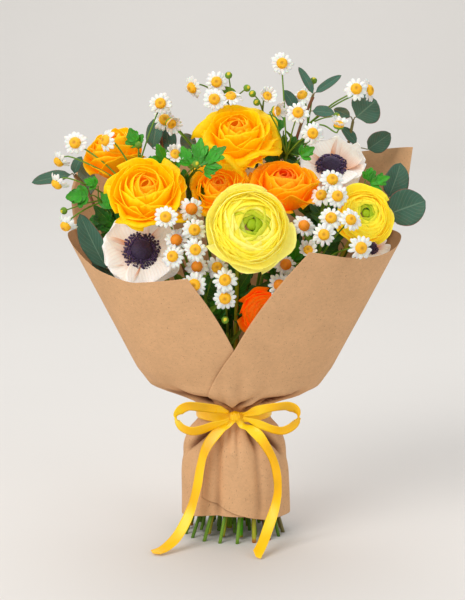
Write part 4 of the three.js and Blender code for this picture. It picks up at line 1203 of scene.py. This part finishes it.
def paper_folds(angle, z):
    """How far gathers, grooves and lips move the paper: inwards and down, in millimetres."""
    a = front_angle(angle)
    near_tie = ease(62, 112, z) * (1 - ease(128, 196, z))
    count = sizes().pleat_count
    phase = (math.radians(a) * count + 1.3 * math.sin(math.radians(a * 3 + 40))
             + 0.7 * math.sin(math.radians(a * 5)))
    depth = sizes().pleat_depth / MM * (0.65 + 0.35 * math.sin(math.radians(a * 4 + 70)))
    at_band = 1 - 0.72 * bump(z, TIE_HEIGHT, 9)
    inwards = depth * near_tie * at_band * (0.5 - 0.5 * math.cos(phase)) ** 1.6
    for middle, swing, height, wide, tall, deep in PLEATS:
        inwards += deep * bump(a, middle + swing * (z - height), wide) ** 0.8 * bump(z, height, tall)
    skirt = ease(10, 40, z) * (1 - ease(92, 112, z))
    for middle, wide, deep in GROOVES:
        inwards += deep * bump(a, middle, wide) * skirt
    inwards -= 2.4 * bump(a, 1, 10) * bump(z, 88, 9)
    inwards -= 1.6 * math.sin(math.radians(a * 5 + 20)) * (1 - ease(20, 90, z))
    lip = bump(a, -46, 24) + 0.9 * bump(a, 45, 14) + 0.5 * bump(a, 150, 40)
    inwards -= 2.5 * lip * bump(z, 150, 5)
    inwards += 15.0 * lip * bump(z, 141.5, 5.5)
    down = 3.0 * lip * bump(z, 150, 8)
    broad = math.sin(math.radians(a * 2.5 + z * 0.35)) + 0.6 * math.sin(math.radians(a * 6 - z * 0.8 + 30))
    inwards += 0.9 * broad * ease(150, 230, z)
    return inwards, down


def level(hem, rim, y):
    """The height at a share of the way up a sheet, with the rows closer together near the tie."""
    tie = (TIE_HEIGHT + 14 - hem) / (rim - hem)
    near = y - 0.075 * math.sin(2 * math.pi * y) * 0.5
    share = near + (y - tie) * abs(y - tie) * 0.9 * y * (1 - y) * 2
    return hem + (rim - hem) * min(max(share, 0), 1)


def shade_folds(mesh, verts, folded):
    """Gives each point of a sheet a tone that says how deep in a fold it lies, which the kraft finish turns
    into painted shade.
    """
    tone = mesh.bm.verts.layers.float["tone"]
    for vert, depth in zip(verts, folded):
        vert[tone] = 0.5 + 0.5 * ease(1.5, 11, depth)


def outer_paper():
    """The big sheet: a cone whose right edge laps over its left, gathered at the tie, with a skirt below."""
    mesh, folded = Mesh(), []

    def put(x, y):
        u = (x + 1) / 2
        angle = -340 * u + 10
        for _ in range(4):
            hem, rim = smooth_lookup(OUTER_HEM, angle, 4), smooth_lookup(OUTER_RIM, angle, 3)
            z = level(hem, rim, y)
            left, right = smooth_lookup(LEFT_EDGE, z, 5), smooth_lookup(RIGHT_EDGE, z, 5) - 360
            angle = left + (right - left) * u
        inwards, down = paper_folds(angle, z)
        folded.append(inwards)
        lap = LAP_GAP * (1 - u)
        return place(wrap_point(angle, z, lap + 0.3 + inwards)) - Vector((0, 0, down)) * MM

    shade_folds(mesh, mesh.grid(264, 140, put), folded)
    mesh.thicken(sizes().paper_thickness)
    return mesh.finish()


def back_paper():
    """The smaller sheet: it stands behind the blooms and tucks into the cone down to the tie."""
    mesh, folded = Mesh(), []

    def put(x, y):
        u = (x + 1) / 2
        angle = 105 + 145 * u
        for _ in range(4):
            z = level(BACK_HEM, smooth_lookup(BACK_RIM, angle, 5), y)
            right, left = smooth_lookup(BACK_RIGHT_EDGE, z, 5), smooth_lookup(BACK_LEFT_EDGE, z, 5)
            angle = right + (left - right) * u
        inwards, down = paper_folds(angle, z)
        folded.append(inwards)
        return place(wrap_point(angle, z, SHEET_GAP + 0.2 + inwards)) - Vector((0, 0, down)) * MM

    shade_folds(mesh, mesh.grid(110, 110, put), folded)
    mesh.thicken(sizes().paper_thickness)
    return mesh.finish()


# ---- Ribbon ----


def ribbon_strip(route, face, slant=0.0, waves=0.0, pinch=(0.5, 1), steps=90):
    """A flat satin strip along a route: its face turns with its direction, and it is pinched at the knot."""
    line = through([place(p) for p in route], steps + 1)
    half = RIBBON_WIDTH / 2 * MM
    mesh = Mesh()

    def put(x, y):
        shift = slant * x * ease(0.55, 1, y)
        where = min(max(y + shift, 0), 1) * steps
        i = min(int(where), steps - 1)
        at = line[i].lerp(line[i + 1], where - i)
        ahead, behind = line[min(i + 2, steps)], line[max(i - 1, 0)]
        along = (ahead - behind).normalized()
        across = face(along).normalized()
        out = along.cross(across)
        narrow = min(pinch[0] + (1 - pinch[0]) * ease(0, 0.16, y),
                     pinch[1] + (1 - pinch[1]) * ease(1, 0.84, y))
        x *= narrow
        belly = (((1 - x * x) * 0.35 + (1 - narrow) * abs(x) * 3) * MM
                 + math.sin(y * 21 + x) * waves * MM * (0.4 + 0.6 * abs(x)))
        return at + across * half * x + out * belly

    mesh.grid(8, steps, put)
    mesh.thicken(sizes().ribbon_thickness)
    return mesh.finish()


FRONT = Vector((0, -1, 0))
UP = Vector((0, 0, 1))


def tail_face(along):
    """Across a tail: its hanging stretch is turned a little edge-on, and its lying end is flat."""
    steep = abs(along.z)
    across = along.cross(FRONT * steep + UP * (1 - steep))
    return Matrix.Rotation(TAIL_TWIST * steep**3, 3, along) @ across


def loop_face(along):
    across = FRONT * 0.45 + UP * 0.9
    return across - along * along.dot(across)


def band_mesh():
    """The ribbon round the waist, in one slightly skewed turn with soft creases."""
    mesh = Mesh()
    wide, deep = WAIST_RADIUS[0] + 0.5, WAIST_RADIUS[1] + 0.5

    def put(x, y):
        angle = math.pi * (x + 1)
        side = 2 * y - 1
        crease = 0.35 * math.sin(angle * 9 + side * 2) * bump(side, 0.2, 0.5)
        z = TIE_HEIGHT + side * RIBBON_WIDTH / 2 + 0.6 * math.sin(angle + 0.6)
        out = 0.25 * (1 - side * side) + crease * 0.5
        return place(((wide + out) * math.sin(angle), -(deep + out) * math.cos(angle), z))

    made = mesh.grid(160, 8, put)
    bmesh.ops.remove_doubles(mesh.bm, verts=made, dist=0.01 * MM)
    mesh.thicken(sizes().ribbon_thickness)
    return mesh.finish()


def knot_mesh():
    """The crossing of the bow: a short wrap of ribbon drawn tight, with folds that gather to its sides."""
    mesh = Mesh()
    front = WAIST_RADIUS[1] + 1.3 + KNOT["depth"] / 2

    def shape(vert):
        p = vert.co.copy()
        flat = Vector((abs(p.x) ** 0.75 * math.copysign(1, p.x), p.y,
                       abs(p.z) ** 0.8 * math.copysign(1, p.z)))
        pinch = 1 - 0.22 * bump(p.z, 0, 0.4) * abs(p.x) ** 2
        folds = 0.05 * math.sin(p.x * 9 + p.z * 2) + 0.03 * math.sin(p.x * 17 - p.z * 3)
        vert.co = Vector((flat.x * KNOT["width"] / 2 * 0.92, flat.y * KNOT["depth"] / 2 * (0.95 + folds * 2),
                          flat.z * KNOT["height"] / 2 * pinch * (0.95 + folds)))

    for vert in mesh.ball((0, 0, 0), 1, detail=5):
        shape(vert)
        vert.co = place(vert.co + Vector((KNOT["x"], -front, KNOT["z"])))
    return mesh.finish()


# ---- Operators: one for each kind of piece ----


class BuildStage(bpy.types.Operator):
    """Sets the camera, the floor with its backdrop, and the soft studio light"""

    bl_idname = "bouquet.stage"
    bl_label = "Stage"

    def execute(self, context):
        scene = context.scene
        target = place((-1.4, 0, 226))
        camera = bpy.data.cameras.new("camera")
        camera.lens, camera.sensor_width = 100, 36
        view = bpy.data.objects.new("camera", camera)
        away = Vector((0, -math.cos(math.radians(11)), math.sin(math.radians(11))))
        view.location = target + away * 1.57
        view.rotation_euler = (-away).to_track_quat("-Z", "Y").to_euler()
        scene.collection.objects.link(view)
        scene.camera = view
        scene.view_settings.view_transform = "Standard"

        mesh = Mesh()

        def put(x, y):
            run = y * 9.4
            flat, turn = 6.6, 1.2
            if run < flat:
                return Vector((x * 4, run - 3.4, 0))
            swing = min((run - flat) / turn, math.pi / 2)
            rise = max(0, run - flat - turn * math.pi / 2)
            return Vector((x * 4, flat - 3.4 + turn * math.sin(swing), turn * (1 - math.cos(swing)) + rise))

        mesh.grid(8, 80, put)
        floor = bpy.data.objects.new("floor", mesh.finish())
        scene.collection.objects.link(floor)
        look = Finish("backdrop", Roughness=0.95, Specular_IOR_Level=0.1)
        look.colour(look.ramp(look.noise(3), (0.3, tuple(v * 0.985 for v in colours().floor)),
                              (0.7, tuple(colours().floor))))
        floor.data.materials.append(look.material)

        bunch = (0, 0, 0.25)
        for name, at, aim, size, power, tint in (
            ("key", (-1.5, -1.7, 1.9), bunch, 1.5, 44, (1.0, 0.985, 0.965)),
            ("fill", (1.7, -1.5, 1.2), bunch, 1.8, 11, (0.95, 0.97, 1.0)),
            ("top", (0.1, 0.5, 2.4), bunch, 1.6, 14, (1.0, 1.0, 1.0)),
            ("backdrop", (0, 3.0, 3.2), (0, 3.4, 0), 3.0, 46, (1.0, 0.99, 0.975)),
        ):
            lamp = bpy.data.lights.new(name, "AREA")
            lamp.size, lamp.energy, lamp.color = size, power, tint
            light = bpy.data.objects.new(name, lamp)
            light.location = at
            light.rotation_euler = (Vector(aim) - Vector(at)).to_track_quat("-Z", "Y").to_euler()
            light.visible_camera = False
            scene.collection.objects.link(light)
        world = bpy.data.worlds.new("studio")
        world.use_nodes = True
        world.node_tree.nodes["Background"].inputs[0].default_value = (*srgb(243, 243, 243), 1)
        world.node_tree.nodes["Background"].inputs[1].default_value = 0.55
        scene.world = world
        return {"FINISHED"}


class BuildRibbon(bpy.types.Operator):
    """Ties the satin ribbon: two tails, two loops, the band and the knot"""

    bl_idname = "bouquet.ribbon"
    bl_label = "Ribbon"

    def execute(self, context):
        satin = satin_finish()
        for side, route, slant in (("left", LEFT_TAIL, 0.035), ("right", RIGHT_TAIL, -0.035)):
            tail = add_piece(f"satin_tail_{side}", ribbon_strip(route, tail_face, slant, 0.5), [satin],
                             "satin_ribbon", f"ribbon_tail_{side}")
            path = through([place(p) for p in route], 30)
            place(route[0])
        add_piece("satin_loop_left", ribbon_strip(LEFT_LOOP, loop_face, 0, 0.3, (0.4, 0.4)), [satin],
                  "satin_ribbon",
                  "ribbon_loop_left")
        add_piece("satin_loop_right", ribbon_strip(RIGHT_LOOP, loop_face, 0, 0.3, (0.4, 0.4)), [satin],
                  "satin_ribbon",
                  "ribbon_loop_right")
        add_piece("satin_band", band_mesh(), [satin], "satin_ribbon", "ribbon_band")
        add_piece("satin_knot", knot_mesh(), [satin], "satin_ribbon", "ribbon_knot")
        return {"FINISHED"}


class BuildPaper(bpy.types.Operator):
    """Wraps the bunch in two sheets of kraft paper"""

    bl_idname = "bouquet.paper"
    bl_label = "Paper"

    def execute(self, context):
        kraft = kraft_finish()
        outer = add_piece("kraft_outer_wrap", outer_paper(), [kraft], "kraft_paper", "kraft_outer_sheet")
        back = add_piece("kraft_back_wrap", back_paper(), [kraft], "kraft_paper", "kraft_back_sheet")
        return {"FINISHED"}


class BuildBinding(bpy.types.Operator):
    """Winds the twine that holds the stems, inside the paper"""

    bl_idname = "bouquet.binding"
    bl_label = "Binding"

    def execute(self, context):
        mesh = Mesh()
        low, high = (Vector(c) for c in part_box("stem_binding"))
        thick = 0.9 * MM
        wide = (high - low) / 2 - Vector((thick, thick, 0))
        turns, steps = 4, 64
        route = []
        for i in range(turns * steps + 1):
            angle = 2 * math.pi * i / steps
            rise = (i / (turns * steps) - 0.5) * ((high.z - low.z) - 2 * thick)
            route.append(AXIS + Vector((wide.x * math.cos(angle), wide.y * math.sin(angle),
                                        (low.z + high.z) / 2 + rise)))
        mesh.tubes([(route, thick, thick)], resolution=2)
        add_piece("twine_binding", mesh.finish(), [twine_finish()], "binding_twine", "stem_binding")
        return {"FINISHED"}


def stem_finish():
    return stalk_finish("cut stem", tuple(colours().stalk_green), srgb(206, 176, 70), cut=srgb(186, 104, 48),
                        lush=srgb(40, 156, 2))


class BuildRoses(bpy.types.Operator):
    """Grows the five roses, yellow to orange, each on its own stem"""

    bl_idname = "bouquet.roses"
    bl_label = "Roses"

    def execute(self, context):
        c = colours()
        stem = stem_finish()
        sepal = leaf_finish("sepal", tuple(c.leaf_green), srgb(20, 66, 14), srgb(120, 160, 70),
                            srgb(90, 120, 40),
                            0.5, 0.05)
        for name, bloom in ROSES.items():
            warm = bloom["warm"]
            heart = tuple(Vector(c.rose_heart).lerp(Vector(c.orange_heart), warm))
            rim = tuple(Vector(c.rose_rim).lerp(Vector(c.orange_rim), warm))
            # The deeper centre colour of the inner petals is partly their own colour and partly painted shade
            # in the middle of the rose.
            centre = tuple(Vector(srgb(255, 160, 0)).lerp(Vector(srgb(238, 62, 6)), warm))
            petals = petal_finish(name + " petal", heart, rim, centre, 0.3, painted_glow=0.14)
            mesh = rose_mesh(name, bloom)
            slot = "rose_yellow" if warm < 0.45 else "rose_orange"
            add_piece(name + "_bloom", mesh.finish(), [petals], slot, name + "_petals")
            stalk = stem_mesh(name)
            self.sepals(stalk, name, bloom)
            add_piece(name + "_stalk", stalk.finish(), [stem, sepal], "stem", name + "_stem")
        return {"FINISHED"}

    def sepals(self, mesh, name, bloom):
        """Five narrow green sepals folded back under the bloom."""
        matrix = stand(place(bloom_base(bloom)), bloom_axis(bloom))
        reach = bloom["radius"] * 0.62 * MM
        parts = Mesh()
        for i in range(5):
            angle = 2 * math.pi * i / 5 + 0.3
            side = Vector((math.cos(angle), math.sin(angle), 0))
            start = matrix @ (side * 1.5 * MM)
            end = matrix @ (side * reach - Vector((0, 0, reach * 0.10)))
            leaf(parts, start, end, 7 * MM, bloom_axis(bloom), 0.15, 0.1, material=1)
        parts.thicken(0.5 * MM)
        mesh.join(parts)


class BuildRanunculus(bpy.types.Operator):
    """Grows the three ranunculus, two lemon and one orange"""

    bl_idname = "bouquet.ranunculus"
    bl_label = "Ranunculus"

    def execute(self, context):
        c = colours()
        stem = stem_finish()
        lemon = petal_finish("lemon petal", srgb(238, 208, 22), tuple(c.lemon), tuple(c.lime), 0.16,
                             (0.4, 0.95),
                             tuple(c.lemon_pale), 0.08, 0.15)
        yellow = petal_finish("yellow petal", srgb(244, 190, 8), srgb(253, 232, 60), tuple(c.lime), 0.16,
                              (0.4, 0.95),
                              None, 0.06, 0.15)
        orange = petal_finish("orange petal", srgb(236, 48, 0), srgb(255, 124, 10), srgb(246, 110, 10), 0.2,
                              (0.5, 0.85), None, 0.14, 0.22)
        for name, finish, slot in (
            ("ranunculus_front", lemon, "ranunculus_lemon"), ("ranunculus_right", yellow, "ranunculus_lemon"),
            ("ranunculus_low", orange, "ranunculus_orange"),
        ):
            add_piece(name + "_bloom", ranunculus_mesh(name, RANUNCULUS[name]).finish(), [finish], slot,
                      name + "_petals")
            add_piece(name + "_stalk", stem_mesh(name).finish(), [stem], "stem", name + "_stem")
        return {"FINISHED"}


class BuildAnemones(bpy.types.Operator):
    """Grows the three cream anemones with their dark centres"""

    bl_idname = "bouquet.anemones"
    bl_label = "Anemones"

    def execute(self, context):
        stem, petals, velvet = stem_finish(), anemone_finish(), velvet_finish()
        for name, bloom in ANEMONES.items():
            add_piece(name + "_bloom", anemone_petals(name, bloom).finish(), [petals], "anemone_petal",
                      name + "_petals")
            add_piece(name + "_boss", anemone_centre(name, bloom).finish(), [velvet], "anemone_centre",
                      name + "_centre")
            add_piece(name + "_stalk", stem_mesh(name).finish(), [stem], "stem", name + "_stem")
        return {"FINISHED"}


class BuildChamomile(bpy.types.Operator):
    """Grows fourteen branching stalks of chamomile with white heads and green buds"""

    bl_idname = "bouquet.chamomile"
    bl_label = "Chamomile"

    def execute(self, context):
        heads, bud = head_shapes(), bud_shape()
        stalk = stalk_finish("chamomile stalk", srgb(112, 152, 46), srgb(70, 108, 28), 120)
        materials = [ray_finish(), disc_finish(), stalk]
        for i, spray in enumerate(SPRAYS):
            name = f"chamomile_{i + 1:02d}"
            draw = random.Random(name)
            mesh = stem_mesh(name)
            for face in mesh.bm.faces:
                face.material_index = 2
            fork = Vector(spray["fork"])
            routes = []
            for k, (x, y, z, turn, tilt) in enumerate(spray["heads"]):
                at, face_way = Vector((x, y, z)), facing(turn, tilt)
                under = at - face_way * 7
                middle = fork.lerp(under, 0.55) + Vector((0, 0, 3))
                line = through([place(p) for p in (fork, middle, under, at - face_way * 0.5)], 16)
                routes.append((line, 0.85 * MM, 0.7 * MM))
                if (x, y, z) in YOUNG_HEADS:
                    kind = "young"
                elif tilt <= -35:
                    kind = "back"
                else:
                    kind = ("open", "flat")[k % 2]
                shape = heads[kind, (x, y, z) in DEEP_HEADS]
                scale = Matrix.Scale(draw.uniform(0.94, 1.03), 4)
                mesh.copy_of(shape, stand(place(at), face_way, draw.uniform(0, 6.28)) @ scale)
            for point in spray.get("buds", ()):
                at = Vector(point)
                line = through([place(p) for p in (fork, at.lerp(fork, 0.5) + Vector((1, 0, 2)), at)], 12)
                routes.append((line, 0.8 * MM, 0.6 * MM))
                mesh.copy_of(bud, stand(place(at), at - fork, 0))
            mesh.tubes(routes, material=2, resolution=1)
            blades = Mesh()
            for base, tip, width in spray.get("leaves", ()):
                leaf(blades, place(base), place(tip), width * MM, FRONT, material=2)
            low = Vector(spray["fork"]) * 0.94
            for side in (-1, 1):
                tip = low + Vector((side * draw.uniform(12, 18), draw.uniform(-10, 2), draw.uniform(12, 20)))
                leaf(blades, place(low), place(tip), 5 * MM, FRONT, 0.2, 0.2,
                     ((0.4, 0.4), (0.6, 0.4), (0.8, 0.3)), 2)
            blades.thicken(0.35 * MM)
            mesh.join(blades)
            add_piece(name + "_spray", mesh.finish(), materials, "chamomile", name)
        for shape in (*heads.values(), bud):
            bpy.data.meshes.remove(shape)
        return {"FINISHED"}


def leafy_stalk(name, stalk, extra, lobed, draw):
    """A stalk with its leaves, each on a short petiole that starts on the stalk."""
    mesh = stem_mesh(name)
    line = [Vector(p) for p in ROUTES[name]["route"]]
    blades, petioles = Mesh(), []
    for i, (base, tip, width) in enumerate([*stalk["leaves"], *extra]):
        base, tip = Vector(base), Vector(tip)
        start = min(line, key=lambda p: (p - base - Vector((0, 0, -9))).length)
        outward = Vector((base.x * 0.004, -1, 0.45 + draw.uniform(-0.2, 0.2)))
        if (base - start).length > 1.5:
            bend = start.lerp(base, 0.6) + Vector((0, 0, 1.5))
            petioles.append((through([place(p) for p in (start, bend, base)], 8), 0.7 * MM, 0.5 * MM))
        inner = i >= len(stalk["leaves"])
        # Leaves inside the bunch get a low tone, which darkens them as painted shade; the others get a high
        # tone.
        tone = draw.uniform(-0.35, 0.1) if inner else draw.uniform(0.5, 1.0)
        if lobed and width >= 8:
            lobed_leaf(blades, place(base), place(tip), width * 1.55 * MM, outward, tone, draw, 1)
        else:
            leaf(blades, place(base), place(tip), width * MM, outward, draw.uniform(0.05, 0.18), 0.75,
                 material=1,
                 tone=tone)
    blades.thicken(0.45 * MM)
    mesh.join(blades)
    if petioles:
        mesh.tubes(petioles, resolution=1)
    return mesh.finish()


class BuildEucalyptus(bpy.types.Operator):
    """Grows the five eucalyptus stalks with matt blue-green leaves"""

    bl_idname = "bouquet.eucalyptus"
    bl_label = "Eucalyptus"

    def execute(self, context):
        c = colours()
        stem = stalk_finish("eucalyptus stalk", srgb(128, 120, 74), srgb(126, 78, 54))
        blade = leaf_finish("eucalyptus leaf", tuple(c.blue_green), srgb(44, 84, 58), srgb(128, 160, 132),
                            srgb(150, 84, 72), 0.62, 0.0)
        for name, stalk in EUCALYPTUS.items():
            extra = [((146, 10, 312), (128, -4, 326), 11)] if name == "eucalyptus_right" else []
            mesh = leafy_stalk(name, stalk, extra, False, random.Random(name))
            add_piece(name + "_spray", mesh, [stem, blade], "eucalyptus", name)
        return {"FINISHED"}


class BuildFoliage(bpy.types.Operator):
    """Grows the seven stalks of lobed green foliage"""

    bl_idname = "bouquet.foliage"
    bl_label = "Foliage"

    def execute(self, context):
        c = colours()
        stem = stalk_finish("foliage stalk", srgb(92, 132, 40), srgb(58, 92, 26))
        blade = leaf_finish("lobed leaf", tuple(c.leaf_green), srgb(20, 92, 8), srgb(120, 176, 56),
                            srgb(78, 128, 34), 0.42, 0.12)
        for name, stalk in FOLIAGE.items():
            mesh = leafy_stalk(name, stalk, INNER_LEAVES.get(name, []), True, random.Random(name))
            add_piece(name + "_spray", mesh, [stem, blade], "green_foliage", name)
        return {"FINISHED"}


class BOUQUET_PT_build(bpy.types.Panel):
    """Lists the sizes, the colours and the pieces of the bouquet"""

    bl_label = "Bouquet"
    bl_space_type = "VIEW_3D"
    bl_region_type = "UI"
    bl_category = "Bouquet"

    def draw(self, context):
        for settings in (context.scene.bouquet_sizes, context.scene.bouquet_colours):
            for key in settings.__annotations__:
                self.layout.prop(settings, key)
        for operator in OPERATORS:
            self.layout.operator(operator.bl_idname)


OPERATORS = (
    BuildStage, BuildRibbon, BuildPaper, BuildBinding, BuildRoses, BuildRanunculus, BuildAnemones,
    BuildChamomile,
    BuildEucalyptus, BuildFoliage,
)
CLASSES = (BouquetSizes, BouquetColours, *OPERATORS, BOUQUET_PT_build)


def register():
    for entry in CLASSES:
        bpy.utils.register_class(entry)
    bpy.types.Scene.bouquet_sizes = PointerProperty(type=BouquetSizes)
    bpy.types.Scene.bouquet_colours = PointerProperty(type=BouquetColours)


def unregister():
    del bpy.types.Scene.bouquet_colours
    del bpy.types.Scene.bouquet_sizes
    for entry in reversed(CLASSES):
        bpy.utils.unregister_class(entry)


def main():
    register()
    bpy.ops.bouquet.stage()
    bpy.ops.bouquet.ribbon()
    bpy.ops.bouquet.paper()
    bpy.ops.bouquet.binding()
    bpy.ops.bouquet.roses()
    bpy.ops.bouquet.ranunculus()
    bpy.ops.bouquet.anemones()
    bpy.ops.bouquet.chamomile()
    bpy.ops.bouquet.eucalyptus()
    bpy.ops.bouquet.foliage()


if __name__ == "__main__":
    main()
